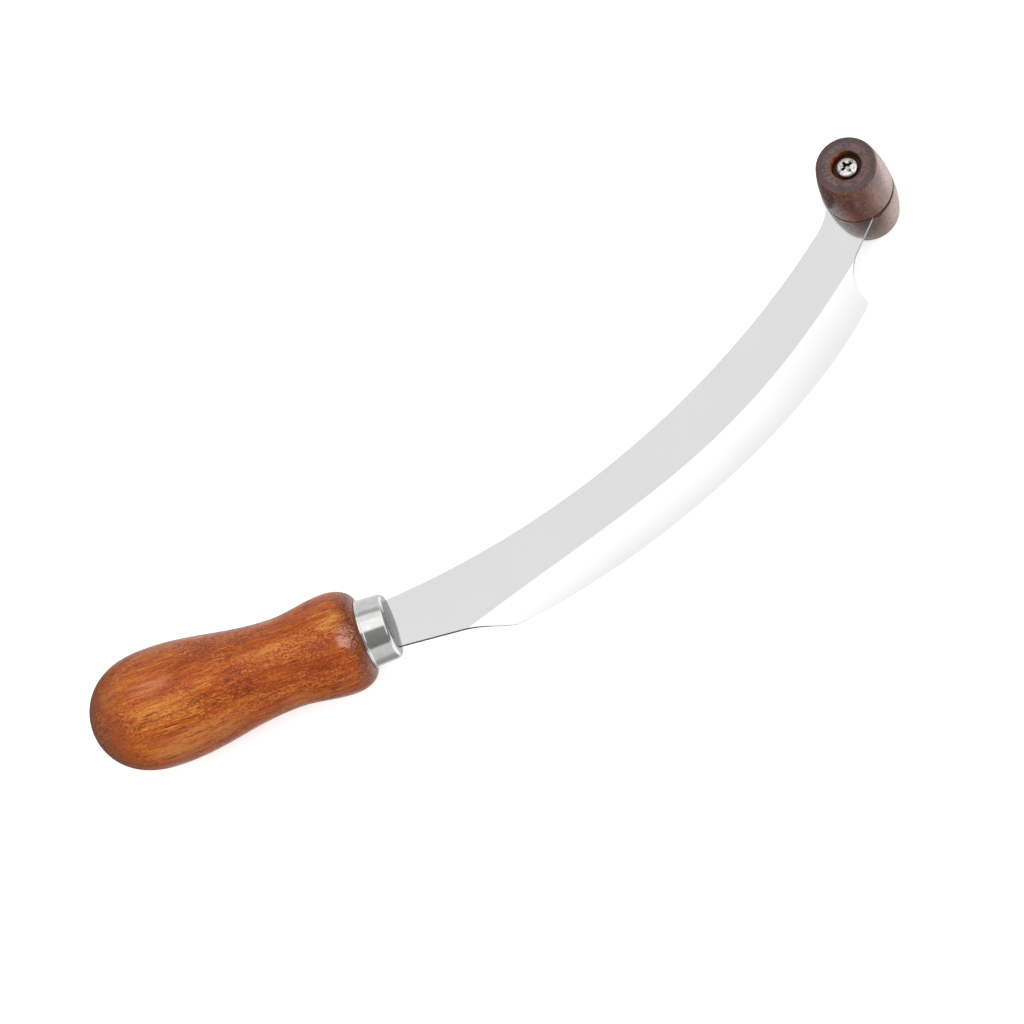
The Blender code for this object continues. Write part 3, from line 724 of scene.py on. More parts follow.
def polished_steel(name, level, rough, lines, line_depth):
    """Polished steel with fine lines left by the wheel; lines is their size in millimetres."""
    tree = Surface(name)
    place = tree.place()
    scratches = tree.noise(place, lines, detail=3.0, rough=0.6)
    clouds = tree.noise(place, (22, 22, 22), detail=3.0)
    clouded = tree.remap(clouds, 0.35, 0.65)
    tree.set("Base Color", tree.mix(clouded, grey(0.98 * level), grey(level)))
    tree.set("Metallic", 1.0)
    tree.set("Roughness", tree.plus(0.8 * rough, tree.remap(scratches, 0.3, 0.7), 0.4 * rough))
    tree.set("Normal", tree.bump(scratches, line_depth, 0.5))
    return tree.material


def head_steel():
    """Plated steel gone patchy: dull and yellowish in places, bright where it has been rubbed."""
    tree = Surface("screw_steel")
    place = tree.place()
    patches = tree.noise(place, (0.8, 0.8, 0.8), detail=4.0, rough=0.7, bend=0.6)
    colour = tree.mix(tree.remap(patches, 0.36, 0.56), (0.16, 0.145, 0.12, 1), (0.62, 0.61, 0.58, 1))
    colour = tree.mix(tree.remap(patches, 0.56, 0.7), colour, (0.5, 0.44, 0.33, 1))
    tree.set("Base Color", colour)
    tree.set("Metallic", 1.0)
    tree.set("Roughness", tree.remap(patches, 0.35, 0.65, 0.34, 0.2))
    tree.set("Normal", tree.bump(patches, 0.03, 0.7))
    return tree.material


def recess_steel():
    """The cross recess: near black in its arms, and lighter in the middle."""
    tree = Surface("screw_recess")
    place = tree.place()
    radius = tree.vector("LENGTH", tree.vector("MULTIPLY", place, (1, 1, 0)))
    recess_noise = tree.noise(place, (0.3, 0.3, 0.3), detail=2.0)
    middle = tree.remap(tree.plus(radius, recess_noise, 0.2), 0.75, 0.55)
    tree.set("Base Color", tree.mix(middle, (0.05, 0.047, 0.045, 1), (0.5, 0.49, 0.46, 1)))
    tree.set("Metallic", 1.0)
    tree.set("Roughness", 0.4)
    tree.set("Normal", tree.bump(recess_noise, 0.02, 0.5))
    return tree.material


def blade_wall():
    """The blank's sheared side walls: dull by the handle, brighter along the neck, and painted black inside
    the grip as painted shade in the gap between its halves.
    """
    tree = Surface("blade_wall")
    place = tree.place()
    streaks = tree.noise(place, (0.35, 0.35, 3), detail=3.0)
    tone = tree.mix(tree.remap(tree.axes(place)[0], 12, 110), (0.13, 0.13, 0.135, 1), grey(0.24))
    tone = tree.stain(tone, streaks, 0.4, grey(0.2))
    from_eye_middle = tree.vector("DISTANCE", place, (*EYE, 0.0))
    # painted shade: the wall goes black within the grip, where the gap between the halves is in shadow
    gap_shade = tree.remap(from_eye_middle, GRIP_MIDDLE_RADIUS + 0.5, GRIP_MIDDLE_RADIUS + 0.1)
    tone = tree.mix(gap_shade, tone, (0.012, 0.01, 0.01, 1))
    tree.set("Base Color", tone)
    tree.set("Metallic", 1.0)
    tree.set("Roughness", tree.remap(streaks, 0.3, 0.7, 0.28, 0.45))
    tree.set("Normal", tree.bump(streaks, 0.01, 0.6))
    return tree.material


def ferrule_steel():
    """Drawn steel, polished round its wall, with the pressed front face duller and painted dark, a painted
    dark reflection.
    """
    tree = Surface("ferrule_steel")
    place = tree.place()
    rings = tree.noise(place, (0.22, 7, 7), detail=3.0)
    blotches = tree.noise(place, (1.6, 1.6, 1.6), detail=3.0)
    blotched = tree.remap(blotches, 0.35, 0.65)
    face = tree.remap(tree.axes(place)[0], -0.95, -0.55)
    wall = tree.mix(blotched, (0.52, 0.52, 0.51, 1), (0.57, 0.57, 0.56, 1))
    # painted dark reflection: the front face's colour is darkened to stand in for the dark surroundings it
    # reflects
    pressed = tree.mix(blotched, (0.13, 0.13, 0.135, 1), grey(0.25))
    tree.set("Base Color", tree.mix(face, wall, pressed))
    tree.set("Metallic", tree.remap(face, 0.0, 1.0, 1.0, 0.55, smooth=False))
    polish = tree.remap(rings, 0.3, 0.7, 0.09, 0.16)
    tree.set("Roughness", tree.plus(polish, face, 0.12))
    normal = tree.bump(rings, 0.0012, 0.6)
    tree.set("Normal", tree.bump(blotches, 0.004, 0.5, normal))
    return tree.material


def set_resin():
    """Set adhesive, ivory and slightly cloudy."""
    tree = Surface("set_resin")
    place = tree.place()
    clouds = tree.noise(place, (2, 2, 2), detail=3.0)
    colour = tree.mix(clouds, srgb(186, 168, 128), srgb(206, 190, 152))
    tree.set("Base Color", colour)
    tree.set("Roughness", tree.plus(0.4, clouds, 0.2))
    tree.set("Normal", tree.bump(clouds, 0.05, 0.5))
    return tree.material


# ---------------------------------------------------------------- blade


def tang_outline():
    """The tang's sides behind the shoulders, as (x, half width) from its root to its tip."""
    return [
        (-SHOULDER_SETBACK, TANG_ROOT_WIDTH / 2),
        (-TANG_LENGTH + TANG_TIP_WIDTH / 4, TANG_TIP_WIDTH / 2),
        (-TANG_LENGTH, TANG_TIP_WIDTH / 4),
    ]


def blade_outline():
    """The blank's outline, from the tang's tip along the edge side, round the eye and back."""
    eye_middle = (EYE[0] - EYE_OFFSET, EYE[1])
    tip = from_eye(TIP_FROM_EYE)
    tip_top = (tip[0] + TIP_FLAT[0], tip[1] + TIP_FLAT[1])
    tang = tang_outline()
    lower_tang = [(x, -half) for x, half in reversed(tang)]
    root = [(-SHOULDER_SETBACK, -ROOT_BOTTOM), (0, -ROOT_BOTTOM)]
    straight = Vector(HEEL_STRAIGHT) - Vector((0, -ROOT_BOTTOM))
    heel_near = Vector(HEEL_STRAIGHT) + straight.normalized() * HEEL_LEAD
    heel_far = Vector(HEEL) + Vector(HEEL_RUN_IN)
    heel = bezier(HEEL_STRAIGHT, heel_near, heel_far, HEEL, 20)
    edge = bowed(HEEL, tip, EDGE_BOW, 120)[1:]

    turn = math.radians(NOTCH_START_ANGLE)
    notch_centre = Vector(tip_top) - Vector((math.cos(turn), math.sin(turn))) * NOTCH_RADIUS
    notch = arc(notch_centre, NOTCH_RADIUS, NOTCH_START_ANGLE, NOTCH_END_ANGLE, 28)

    neck_top = from_eye(NECK_TOP_FROM_EYE)
    eye = arc(eye_middle, EYE_RADIUS, EYE_END_ANGLE, EYE_START_ANGLE, 80)
    flare_near = Vector(eye[-1]) + Vector(NECK_FLARE[1])
    flare_far = Vector(neck_top) + Vector(NECK_FLARE[0])
    flare = bezier(eye[-1], flare_near, flare_far, neck_top, 16)
    spine = sagged_arc((0, ROOT_TOP), neck_top, SPINE_SAG, 120)
    spine.reverse()
    upper_tang = [(-SHOULDER_SETBACK, ROOT_TOP), *tang]
    return lower_tang + root + heel + edge + notch + eye + flare[1:] + spine[1:] + upper_tang


def hollow(width):
    """Half the blade's thickness at a distance from the bevel's upper line."""
    share = max(0.0, 1 - width / BEVEL_WIDTH)
    edge = EDGE_THICKNESS / 2
    return edge + (BLADE_THICKNESS / 2 - edge) * share**BEVEL_HOLLOW


def bevel_line():
    return [Vector(p) for p in bowed(BEVEL_START, from_eye(BEVEL_END_FROM_EYE), BEVEL_BOW, 96)]


def swept_cutter(name, line, overrun, profile):
    """A cutter swept along a line, which first runs on by some of its own steps at both ends.

    profile is (distance to the right of the line, height).
    """
    before = line[0] + (line[0] - line[1]) * overrun
    after = line[-1] + (line[-1] - line[-2]) * overrun
    line = [before, *line, after]
    sections = []
    for i, point in enumerate(line):
        along = line[min(i + 1, len(line) - 1)] - line[max(i - 1, 0)]
        right = Vector((along.y, -along.x)).normalized()
        sections.append([(*(point + right * width), height) for width, height in profile])
    return loft(name, sections, KNIFE_PLACE)


def grind_cutter(name, side):
    """What the grinding wheel takes off one side: the hollow, swept along the bevel's upper line."""
    widths = [BEVEL_WIDTH * share**1.15 for share in spread(0, 1, 14)]
    run_out = BEVEL_WIDTH * 1.5
    lead_in = -1.3
    start_slope = (hollow(0) - hollow(widths[1])) / widths[1]
    profile = [
        (lead_in, hollow(0) - lead_in * start_slope),
        *[(width, hollow(width)) for width in widths],
        (run_out, hollow(run_out)),
        (run_out, BLADE_THICKNESS),
        (lead_in, BLADE_THICKNESS),
    ]
    return swept_cutter(name, bevel_line(), 6, [(width, side * height) for width, height in profile])


def keen_cutter(name, side):
    """What the last sharpening takes off one side, along the cutting edge."""
    line = [Vector(p) for p in bowed(HEEL, from_eye(TIP_FROM_EYE), EDGE_BOW, 96)]
    slope = math.tan(math.radians(KEEN_SLOPE))
    inside = 2.0
    outside = 0.3
    keen = KEEN_THICKNESS / 2
    profile = [
        (outside, keen - slope * outside),
        (-inside, keen + slope * inside),
        (outside, keen + slope * inside),
    ]
    return swept_cutter(name, line, 0.5, [(width, side * height) for width, height in profile])


def finish_blade_faces(mesh):
    """Gives the flats and the sharpened line, the bevels, and the side walls their own finish."""
    half = BLADE_THICKNESS / 2 * MM
    for face in mesh.polygons:
        upright = abs(face.normal.z)
        if upright < WALL_NORMAL:
            face.material_index = WALL_FINISH
        elif upright < KEEN_NORMAL:
            face.material_index = FLAT_FINISH
        elif abs(abs(face.center.z) - half) < SAME_HEIGHT and upright > LEVEL_NORMAL:
            face.material_index = FLAT_FINISH
        else:
            face.material_index = BEVEL_FINISH


def smooth_bevel_normals(mesh):
    """Gives the bevels the exact normals of the hollow, so that they shade without facets."""
    line = bevel_line()
    edge = EDGE_THICKNESS / 2
    depth = BLADE_THICKNESS / 2 - edge
    normals = [(0.0, 0.0, 0.0)] * len(mesh.loops)
    for face in mesh.polygons:
        if face.material_index != BEVEL_FINISH:
            continue
        side = 1 if face.normal.z > 0 else -1
        for index in face.loop_indices:
            point = mesh.vertices[mesh.loops[index].vertex_index].co.xy / MM
            nearest = min(range(len(line)), key=lambda i: (line[i] - point).length_squared)
            before = line[max(nearest - 1, 0)]
            after = line[min(nearest + 1, len(line) - 1)]
            along = (after - before).normalized()
            outward = Vector((along.y, -along.x))
            width = (point - line[nearest]).dot(outward)
            share = min(1.0, max(0.0, 1 - width / BEVEL_WIDTH))
            slope = depth * BEVEL_HOLLOW * share ** (BEVEL_HOLLOW - 1) / BEVEL_WIDTH
            normal = Vector((outward.x * slope, outward.y * slope, 1)).normalized()
            normals[index] = (normal.x, normal.y, side * normal.z)
    mesh.normals_split_custom_set(normals)


def make_blade(flat, bevel, wall):
    blade = plate("blade_finished", blade_outline(), BLADE_THICKNESS, KNIFE_PLACE, [flat, bevel, wall])
    hole_radius = SCREW_RADIUS + HOLE_GAP
    hole = both_ways([(BLADE_THICKNESS, 0), (BLADE_THICKNESS, hole_radius)])
    hole_place = KNIFE_PLACE + Vector((*EYE, 0)) * MM
    eye_hole = turned("eye_hole", hole, hole_place, [], SMALL_STEPS)
    cut(blade, [grind_cutter("grind_top", 1), grind_cutter("grind_bottom", -1), eye_hole])
    cut(blade, [keen_cutter("keen_top", 1), keen_cutter("keen_bottom", -1)])
    finish_blade_faces(blade.data)
    shade(blade, 2.0)
    smooth_bevel_normals(blade.data)
    stand_for(blade, KNIFE_BODY, "blade")


# ---------------------------------------------------------------- handle and ferrule


def handle_radius(from_butt):
    """Outer radius of the turned wood at a distance from the butt."""
    seat = FERRULE_REAR_RADIUS + FERRULE_LIP
    crest = CREST_FROM_BUTT
    if from_butt <= BELLY_FROM_BUTT:
        share = 1 - from_butt / BELLY_FROM_BUTT
        return BELLY_RADIUS * math.sqrt(max(0.0, 1 - share**BUTT_FULLNESS))
    if from_butt <= WAIST_FROM_BUTT:
        share = (from_butt - BELLY_FROM_BUTT) / (WAIST_FROM_BUTT - BELLY_FROM_BUTT)
        return WAIST_RADIUS + (BELLY_RADIUS - WAIST_RADIUS) * (1 + math.cos(math.pi * share)) / 2
    if from_butt <= crest:
        share = (from_butt - WAIST_FROM_BUTT) / (crest - WAIST_FROM_BUTT)
        return WAIST_RADIUS + (SHOULDER_RADIUS - WAIST_RADIUS) * (1 - math.cos(math.pi * share)) / 2
    share = min(1.0, (from_butt - crest) / SHOULDER_LENGTH)
    return seat + (SHOULDER_RADIUS - seat) * math.sqrt(max(0.0, 1 - share**2))


def ferrule_inner(along):
    """Inner radius of the ferrule at a place behind its front face."""
    share = -along / FERRULE_LENGTH
    outer = FERRULE_FRONT_RADIUS + (FERRULE_REAR_RADIUS - FERRULE_FRONT_RADIUS) * share
    return outer - FERRULE_WALL


def cup_front(inset):
    """The ferrule's domed front and rounded corner, set in from its outside, from the axis outwards."""
    middle_radius = FERRULE_FRONT_RADIUS - FERRULE_CORNER
    reach = FERRULE_DOME_RADIUS - FERRULE_CORNER
    lean = math.asin(middle_radius / reach)
    dome = arc((-FERRULE_DOME_RADIUS, 0), FERRULE_DOME_RADIUS - inset, 0, math.degrees(lean), 12)
    corner_middle = (reach * math.cos(lean) - FERRULE_DOME_RADIUS, middle_radius)
    return dome + arc(corner_middle, FERRULE_CORNER - inset, math.degrees(lean), 90, 12)[1:]


# Dents in the handle: place on its surface as (from the butt, degrees round the axis), radius, depth
DENTS = [
    ((5.2, -62.0), 0.75, 0.16),
    ((3.6, -94.0), 0.6, 0.2),
    ((4.1, -101.0), 0.45, 0.22),
    ((30.0, 40.0), 0.8, 0.08),
    ((47.0, -30.0), 0.7, 0.06),
]
DENTS_END = -8.0  # the wood in front of this stays as turned
SANDING_DEPTH = 0.05
SANDING_LENGTH = 9.0


def dent_handle(mesh):
    """Presses the dents into the turned surface, and leaves it slightly uneven, as hand sanding does."""
    centres = []
    for (from_butt, degrees), _, _ in DENTS:
        turn = math.radians(degrees)
        outward = Vector((0, math.sin(turn), math.cos(turn)))
        centres.append(Vector((from_butt - HANDLE_LENGTH, 0, 0)) + outward * handle_radius(from_butt))
    for vertex in mesh.vertices:
        point = vertex.co / MM
        along, across, up = point
        radius = math.hypot(across, up)
        on_surface = radius >= max(0.5, handle_radius(along + HANDLE_LENGTH) - 0.3)
        if not on_surface or along > DENTS_END:
            continue
        press = SANDING_DEPTH * (1 + noise.noise(point / SANDING_LENGTH)) / 2
        for centre, (_, size, depth) in zip(centres, DENTS):
            share = (point - centre).length / size
            if share < 1:
                press += depth * (1 - share * share) ** 2
        scale = (radius - press) / radius
        vertex.co = Vector((along, across * scale, up * scale)) * MM


def make_handle(wood):
    """The turned wood: rounded butt, belly, waist and shoulder, with the spigot that fills the ferrule."""
    crest = CREST_FROM_BUTT
    butt = [BELLY_FROM_BUTT * (1 - math.cos(turn)) for turn in spread(0, math.pi / 2, 44)]
    middle = spread(BELLY_FROM_BUTT, crest, 80)
    front = [crest + SHOULDER_LENGTH * math.sin(turn) for turn in spread(0, math.pi / 2, 20)]
    from_butts = butt + middle[1:] + front[1:]
    outside = [(from_butt - HANDLE_LENGTH, handle_radius(from_butt)) for from_butt in from_butts]
    spigot = [
        *cup_front(FERRULE_WALL + FACE_GAP),
        (-FERRULE_LENGTH - SEATED_GAP, ferrule_inner(-FERRULE_LENGTH) - FACE_GAP),
    ]
    handle = turned("handle_finished", spigot + outside[::-1], KNIFE_PLACE, [wood], along_x=True)
    dent_handle(handle.data)
    bore_profile = [
        (CUTTER_REACH, 0),
        (CUTTER_REACH, BORE_RADIUS),
        (DRILL_POINT - BORE_DEPTH, BORE_RADIUS),
        (-BORE_DEPTH, 0),
    ]
    bore = turned("tang_bore", bore_profile, KNIFE_PLACE, [], SMALL_STEPS, along_x=True)
    half = BLADE_THICKNESS / 2 + SLOT_GAP
    low = (-SHOULDER_SETBACK - SLOT_GAP, -FERRULE_REAR_RADIUS, -half)
    high = (CUTTER_REACH, FERRULE_REAR_RADIUS, half)
    cut(handle, [bore, block("saw_cut", low, high, KNIFE_PLACE)])
    shade(handle, 32)
    stand_for(handle, KNIFE_BODY, "handle")


def make_ferrule(steel):
    """A drawn cup: domed front with a rounded corner, slightly tapered wall and a small rear lip."""
    lip_start = -FERRULE_LENGTH + FERRULE_LIP_LENGTH
    lip_radius = FERRULE_REAR_RADIUS + FERRULE_LIP
    lip_round = FERRULE_LIP / 2
    outside = [
        *cup_front(0),
        (lip_start + 0.25, FERRULE_REAR_RADIUS - 0.005),  # the wall turns up into the lip
        (lip_start + 0.08, FERRULE_REAR_RADIUS + 0.03),
        *arc((lip_start - FERRULE_LIP, lip_radius - lip_round), lip_round, 20, 90, 5),
        *arc((-FERRULE_LENGTH + lip_round, lip_radius - lip_round), lip_round, 90, 180, 5),
    ]
    outside = [(along, min(radius, lip_radius)) for along, radius in outside]
    inside = [(-FERRULE_LENGTH, ferrule_inner(-FERRULE_LENGTH)), *cup_front(FERRULE_WALL)[::-1]]
    ferrule = turned("ferrule_finished", outside + inside, KNIFE_PLACE, [steel], along_x=True)
    low = (-SHOULDER_SETBACK, -ROOT_BOTTOM - SLOT_GAP, -BLADE_THICKNESS / 2 - SLOT_GAP)
    high = (CUTTER_REACH, ROOT_TOP + SLOT_GAP, BLADE_THICKNESS / 2 + SLOT_GAP)
    cut(ferrule, [block("blade_slot", low, high, KNIFE_PLACE)])
    shade(ferrule, 28)
    stand_for(ferrule, KNIFE_BODY, "ferrule")


# ---------------------------------------------------------------- cross grip


def grip_radius(height):
    """Outer radius of the barrel at a height from the blade's mid-plane."""
    share = abs(height) / (GRIP_LENGTH / 2)
    return GRIP_MIDDLE_RADIUS - (GRIP_MIDDLE_RADIUS - GRIP_END_RADIUS) * share**GRIP_BARREL


def grip_half(name, counterbore_depth, wood, cut_wood, side):
    """One half of the barrel, with its flat inner face on the blade and a counterbore in its end."""
    inner = BLADE_THICKNESS / 2 + FACE_GAP
    end = GRIP_LENGTH / 2
    bore = SCREW_RADIUS + HOLE_GAP
    floor = end - counterbore_depth
    round_start = end - GRIP_END_ROUND
    barrel = spread(round_start, inner + GRIP_PART_CHAMFER, 36)
    rounded = arc((round_start, grip_radius(round_start) - GRIP_END_ROUND), GRIP_END_ROUND, 0, 90, 12)
    mouth_middle = (end - COUNTERBORE_BREAK, COUNTERBORE_RADIUS + COUNTERBORE_BREAK)
    mouth = arc(mouth_middle, COUNTERBORE_BREAK, -90, 0, 5)
    wall = [(floor + 0.3, COUNTERBORE_RADIUS), (floor, COUNTERBORE_RADIUS - 0.12)]  # as the drill leaves it
    chamfer_middle = (inner + GRIP_PART_CHAMFER, grip_radius(inner) - GRIP_PART_CHAMFER)
    chamfer = arc(chamfer_middle, GRIP_PART_CHAMFER, 90, 180, 5)
    profile = [
        (floor, bore),
        *wall[::-1],
        *mouth,
        *rounded,
        *[(height, grip_radius(height)) for height in barrel[1:]],
        *chamfer[1:],
        (inner, bore),
    ]
    cut_lengths = len(wall) + len(mouth) - 1  # the counterbore's, which come first
    finish = [1] * cut_lengths + [0] * (len(profile) - cut_lengths)
    finish[-1] = 1  # the screw's hole
    half = turned(name, profile, GRIP_PLACE, [wood, cut_wood], closed=True, finish=finish)
    if side < 0:
        half.data.transform(Matrix.Rotation(math.pi, 4, "X"))
    return half


def screw_mesh(steel):
    """Pan-head machine screw with a cross recess and a rolled thread."""
    dome_base = HEAD_SEAT + HEAD_HEIGHT - HEAD_DOME
    dome = []
    for turn in spread(0, math.pi / 2, 16):
        height = dome_base + HEAD_DOME * math.cos(turn)
        dome.append((height, HEAD_RADIUS * math.sin(turn) ** HEAD_FULLNESS))
    thread_steps = int((HEAD_SEAT - SCREW_END) / THREAD_PITCH * 10)
    profile = [
        *dome,
        (HEAD_SEAT + HEAD_EDGE, HEAD_RADIUS),
        (HEAD_SEAT, HEAD_RADIUS - HEAD_EDGE),
        *[(height, SCREW_RADIUS) for height in spread(HEAD_SEAT, SCREW_END, thread_steps)],
        (SCREW_END, 0),
    ]
    screw = turned("screw_finished", profile, GRIP_PLACE, [steel], SMALL_STEPS)
    for vertex in screw.data.vertices:
        x, y, z = vertex.co / MM
        radius = math.hypot(x, y)
        if not 0.9 * SCREW_RADIUS < radius < 1.1 * SCREW_RADIUS or z > HEAD_SEAT - 1:
            continue
        turn = (z / THREAD_PITCH - math.atan2(y, x) / (2 * math.pi)) % 1
        groove = THREAD_DEPTH * (1 - abs(2 * turn - 1))
        lead = LEAD_DEPTH * max(0.0, 1 - (z - SCREW_END) / LEAD_LENGTH)
        scale = (SCREW_RADIUS - max(groove, lead)) / radius
        vertex.co = Vector((x * scale, y * scale, z)) * MM
    return screw


def make_screw(steel, recess):
    screw = screw_mesh(steel)
    top = HEAD_SEAT + HEAD_HEIGHT + CUTTER_REACH
    floor = HEAD_SEAT + HEAD_HEIGHT - RECESS_DEPTH
    ends = ((floor, RECESS_FLOOR_WIDTH, RECESS_FLOOR_ARM), (top, RECESS_WIDTH, RECESS_ARM))
    sections = [[(a * width / 2, b * arm / 2, height) for a, b in CORNERS] for height, width, arm in ends]
    cutters = []
    for turn in (RECESS_TURN, RECESS_TURN + 90):
        arms = loft("recess_arms", sections, GRIP_PLACE)
        arms.data.transform(Matrix.Rotation(math.radians(turn), 4, "Z"))
        cutters.append(arms)
    socket = [(top, 0), (top, RECESS_CONE_TOP), (floor, RECESS_CONE_FLOOR), (floor - RECESS_POINT, 0)]
    cutters.append(turned("recess_cone", socket, GRIP_PLACE, [], SMALL_STEPS))
    for cutter in cutters:
        cutter.data.materials.append(recess)
    cut(screw, cutters)
    shade(screw, 30)
    stand_for(screw, GRIP_BODY, "grip_screw")


def make_washer(steel):
    bottom = WASHER_TOP - WASHER_THICKNESS
    bore = SCREW_RADIUS + HOLE_GAP
    edge = 0.08
    profile = [(WASHER_TOP, bore + edge), (WASHER_TOP, WASHER_RADIUS - edge)]
    profile += [(WASHER_TOP - edge, WASHER_RADIUS), (bottom + edge, WASHER_RADIUS)]
    profile += [(bottom, WASHER_RADIUS - edge), (bottom, bore + edge)]
    profile += [(bottom + edge, bore), (WASHER_TOP - edge, bore)]
    washer = turned("washer_finished", profile, GRIP_PLACE, [steel], SMALL_STEPS, closed=True)
    shade(washer, 30)
    stand_for(washer, GRIP_BODY, "nut_washer")


def make_nut(steel):
    """Hexagon nut with chamfered corners and a countersunk bore, under the washer."""
    hexagon = arc((0, 0), NUT_FLATS / math.sqrt(3), 0, 300, 5)
    middle = (NUT_TOP + NUT_BOTTOM) / 2
    half = (NUT_TOP - NUT_BOTTOM) / 2
    place = GRIP_PLACE + Vector((0, 0, middle)) * MM
    nut = plate("nut_finished", hexagon, 2 * half, place, [steel])
    slope = math.tan(math.radians(NUT_CHAMFER_ANGLE))
    outside = NUT_FLATS / math.sqrt(3) + CUTTER_REACH
    inside = NUT_FLATS / 2 - CUTTER_REACH
    chamfer = [
        (half + slope * CUTTER_REACH, 0),
        (half + slope * CUTTER_REACH, inside),
        (half + slope * (NUT_FLATS / 2 - outside), outside),
    ]
    cut(nut, [turned("nut_chamfer", both_ways(chamfer), place, [])], "INTERSECT")
    bore = SCREW_RADIUS + HOLE_GAP / 2
    sink = 0.25
    end = half + CUTTER_REACH
    countersunk = [(end, 0), (end, bore + sink + CUTTER_REACH), (half - sink, bore)]
    cut(nut, [turned("nut_bore", both_ways(countersunk), place, [], SMALL_STEPS)])
    shade(nut, 25)
    stand_for(nut, GRIP_BODY, "grip_nut")


def chip_cutter(cut_wood):
    """A small flake broken out of the lower half's rim, beside the neck."""
    angles = spread(0, math.pi, 10)
    profile = [(CHIP_HEIGHT / 2 * math.cos(a), CHIP_WIDTH / 2 * math.sin(a)) for a in angles]
    chip = turned("chip", profile, GRIP_PLACE + Vector(CHIP_PLACE) * MM, [cut_wood], 20)
    for vertex in chip.data.vertices:
        vertex.co *= 1 + 0.4 * noise.noise(vertex.co / MM * 2.0)
    return chip


def make_grip(wood, cut_wood):
    upper = grip_half("grip_top_finished", HEAD_COUNTERBORE_DEPTH, wood, cut_wood, 1)
    lower = grip_half("grip_bottom_finished", NUT_COUNTERBORE_DEPTH, wood, cut_wood, -1)
    cut(lower, [chip_cutter(cut_wood)])
    for half, node in ((upper, "grip_top_half"), (lower, "grip_bottom_half")):
        shade(half, 28)
        stand_for(half, GRIP_BODY, node)


# ---------------------------------------------------------------- studio

# Camera: where it looks from, as a direction from the knife, and which way is up in its picture
CAMERA_BACK = (0.1188, -0.4031, 0.9074)
CAMERA_UP = (0.33471, 0.87664, 0.34565)
CAMERA_TARGET = (0.69, -12.925, 15.602)
CAMERA_DISTANCE = 1500.0
CAMERA_LENS = 242.1

FLOOR_HALF = 2500.0
FLOOR_THICKNESS = 10.0
FLOOR_GLOW = 0.5

# The sky that polished steel reflects. Its softboxes lie along X, so their brightness goes by the angle
# from straight up towards +Y: degrees, brightness
SKY_BANDS = [
    (-180, 0.60),
    (-168, 0.40),
    (-155, 0.26),
    (-135, 0.34),
    (-118, 0.56),
    (-80, 0.58),
    (-74, 0.16),
    (-45, 0.20),
    (-18, 0.24),
    (-12, 1.0),
    (17.2, 1.0),
    (22.5, 0.80),
    (39, 0.80),
    (43, 0.40),
    (56, 0.40),
    (60, 0.62),
    (180, 0.60),
]
SKY_STRENGTH = 1.68

# Where the bands end, as the part of a direction that is along X: where a change starts and is full
LEFT_FADE = (-0.5, -0.85)
RIGHT_FADE = (0.6, 0.9)
FADE_LEVEL = 0.2
UNLIT_FLANK = (-0.16, -0.42)
UNLIT_LEVEL = 0.1
LIT_FLANK = (0.2, 0.45)
LIT_LEVEL = 1.0
FLANK_HEIGHT = (0.1, -0.2)  # along Z: both flanks are below this
END_SOFTBOX = (0.46, 0.56, 0.72, 0.80)  # along X: where it starts, is full, starts to fade and ends
END_SOFTBOX_HEIGHT = (0.45, 0.55)  # along Z

# The even light for all else, above and below
DOME_UPPER = 0.80
DOME_LOWER = 0.34
DOME_HORIZON = 0.15

KEY_BACK = (-0.2, -0.35, 0.9)
KEY_ENERGY = 1.0
KEY_SPREAD = 50.0


def make_camera():
    back = Vector(CAMERA_BACK).normalized()
    right = Vector(CAMERA_UP).cross(back).normalized()
    up = back.cross(right)
    data = bpy.data.cameras.new("camera")
    data.lens = CAMERA_LENS
    data.sensor_width = 36
    data.clip_start = 0.1
    data.clip_end = 20
    camera = bpy.data.objects.new("camera", data)
    camera.matrix_world = Matrix((right, up, back)).transposed().to_4x4()
    camera.location = (Vector(CAMERA_TARGET) + back * CAMERA_DISTANCE) * MM
    bpy.context.scene.collection.objects.link(camera)
    bpy.context.scene.camera = camera


def mirrored_sky(tree, direction):
    """The brightness of the studio as polished steel reflects it."""
    along, across, up = tree.axes(direction)
    turn = tree.remap(tree.maths("ARCTAN2", across, up), -math.pi, math.pi, smooth=False)
    sky = tree.ramp(turn, [((degrees + 180) / 360, grey(level)) for degrees, level in SKY_BANDS])
    sky = tree.mix(tree.remap(along, *LEFT_FADE), sky, grey(FADE_LEVEL))
    sky = tree.mix(tree.remap(along, *RIGHT_FADE), sky, grey(FADE_LEVEL))
    below = tree.remap(up, *FLANK_HEIGHT)
    sky = tree.stain(sky, tree.remap(along, *UNLIT_FLANK), below, grey(UNLIT_LEVEL))
    sky = tree.stain(sky, tree.remap(along, *LIT_FLANK), below, grey(LIT_LEVEL))
    start, full, fading, end = END_SOFTBOX
    softbox = tree.product(tree.remap(along, start, full), tree.remap(along, end, fading))
    return tree.stain(sky, softbox, tree.remap(up, *END_SOFTBOX_HEIGHT), grey(1.0))


def background(tree, colour, strength=1.0):
    made = tree.node("ShaderNodeBackground")
    tree.feed(made.inputs["Color"], colour)
    made.inputs["Strength"].default_value = strength
    return made.outputs[0]


def either(tree, choice, first, second):
    """The first shader, or the second where the choice is 1."""
    made = tree.node("ShaderNodeMixShader")
    for socket, value in zip(made.inputs, (choice, first, second)):
        tree.feed(socket, value)
    return made.outputs[0]


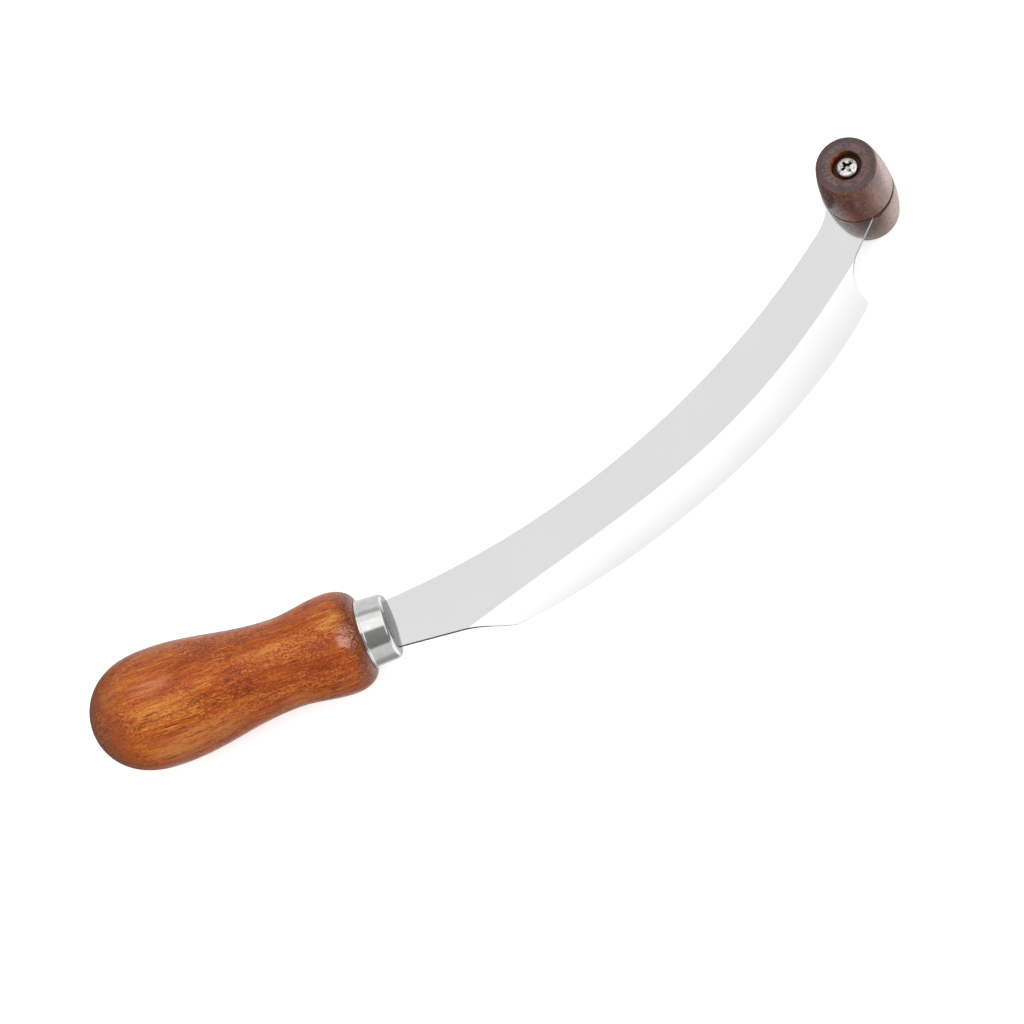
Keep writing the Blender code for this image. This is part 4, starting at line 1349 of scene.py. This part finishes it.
def make_sky():
    """A soft studio: softboxes for reflections, an even dome for other light, white where it is seen."""
    world = bpy.data.worlds.new("studio")
    world.use_nodes = True
    bpy.context.scene.world = world
    world.node_tree.nodes.clear()
    tree = Tree(world.node_tree)
    direction = tree.node("ShaderNodeTexCoord").outputs["Generated"]
    mirrored = background(tree, mirrored_sky(tree, direction), SKY_STRENGTH)
    up = tree.axes(direction)[2]
    level = tree.remap(up, -DOME_HORIZON, DOME_HORIZON, DOME_LOWER, DOME_UPPER)
    dome = background(tree, level)
    seen = background(tree, grey(1.0))
    ray = tree.node("ShaderNodeLightPath")
    sky = either(tree, ray.outputs["Is Camera Ray"], dome, seen)
    sky = either(tree, ray.outputs["Is Glossy Ray"], sky, mirrored)
    output = tree.node("ShaderNodeOutputWorld")
    tree.feed(output.inputs["Surface"], sky)


def make_key_light():
    """A broad soft key from above and a little to the left."""
    data = bpy.data.lights.new("key", "SUN")
    data.energy = KEY_ENERGY
    data.angle = math.radians(KEY_SPREAD)
    key = bpy.data.objects.new("key", data)
    key.rotation_mode = "QUATERNION"
    key.rotation_quaternion = Vector(KEY_BACK).to_track_quat("Z", "Y")
    key.visible_glossy = False
    bpy.context.scene.collection.objects.link(key)


def make_floor():
    """A plain pale table, with its top at the bottom of the CAD."""
    tree = Surface("floor")
    place = tree.place()
    clouds = tree.noise(place, (300, 300, 300), detail=2.0)
    tree.set("Base Color", tree.mix(clouds, grey(0.9), grey(0.92)))
    tree.set("Roughness", 0.9)
    tree.set("Specular IOR Level", 0.0)
    tree.set("Emission Color", grey(1.0))
    tree.set("Emission Strength", FLOOR_GLOW)
    outline = [(a * FLOOR_HALF, b * FLOOR_HALF) for a, b in CORNERS]
    middle = CAD_BOX[0].z - FLOOR_THICKNESS / 2 * MM
    floor = plate("floor", outline, FLOOR_THICKNESS, Vector((0, 0, middle)), [tree.material])
    floor.visible_diffuse = False
    floor.visible_glossy = False


bpy.context.scene.view_settings.view_transform = "Standard"
make_camera()
make_sky()
make_key_light()
make_floor()

BLADE_FLAT = polished_steel("blade_flat", 0.553, 0.07, (60, 0.5, 0.5), 0.0006)
BLADE_BEVEL = polished_steel("blade_bevel", 0.635, 0.09, (0.4, 14, 14), 0.0008)
ZINC = polished_steel("nut_steel", 0.66, 0.25, (0.5, 0.5, 0.5), 0.004)
make_blade(BLADE_FLAT, BLADE_BEVEL, blade_wall())
make_handle(handle_wood())
make_ferrule(ferrule_steel())
make_grip(dark_wood(), raw_wood())
make_screw(head_steel(), recess_steel())
make_washer(ZINC)
make_nut(ZINC)
resin = frame["nodes"]["tang_resin"]
resin.data.materials.clear()
resin.data.materials.append(set_resin())
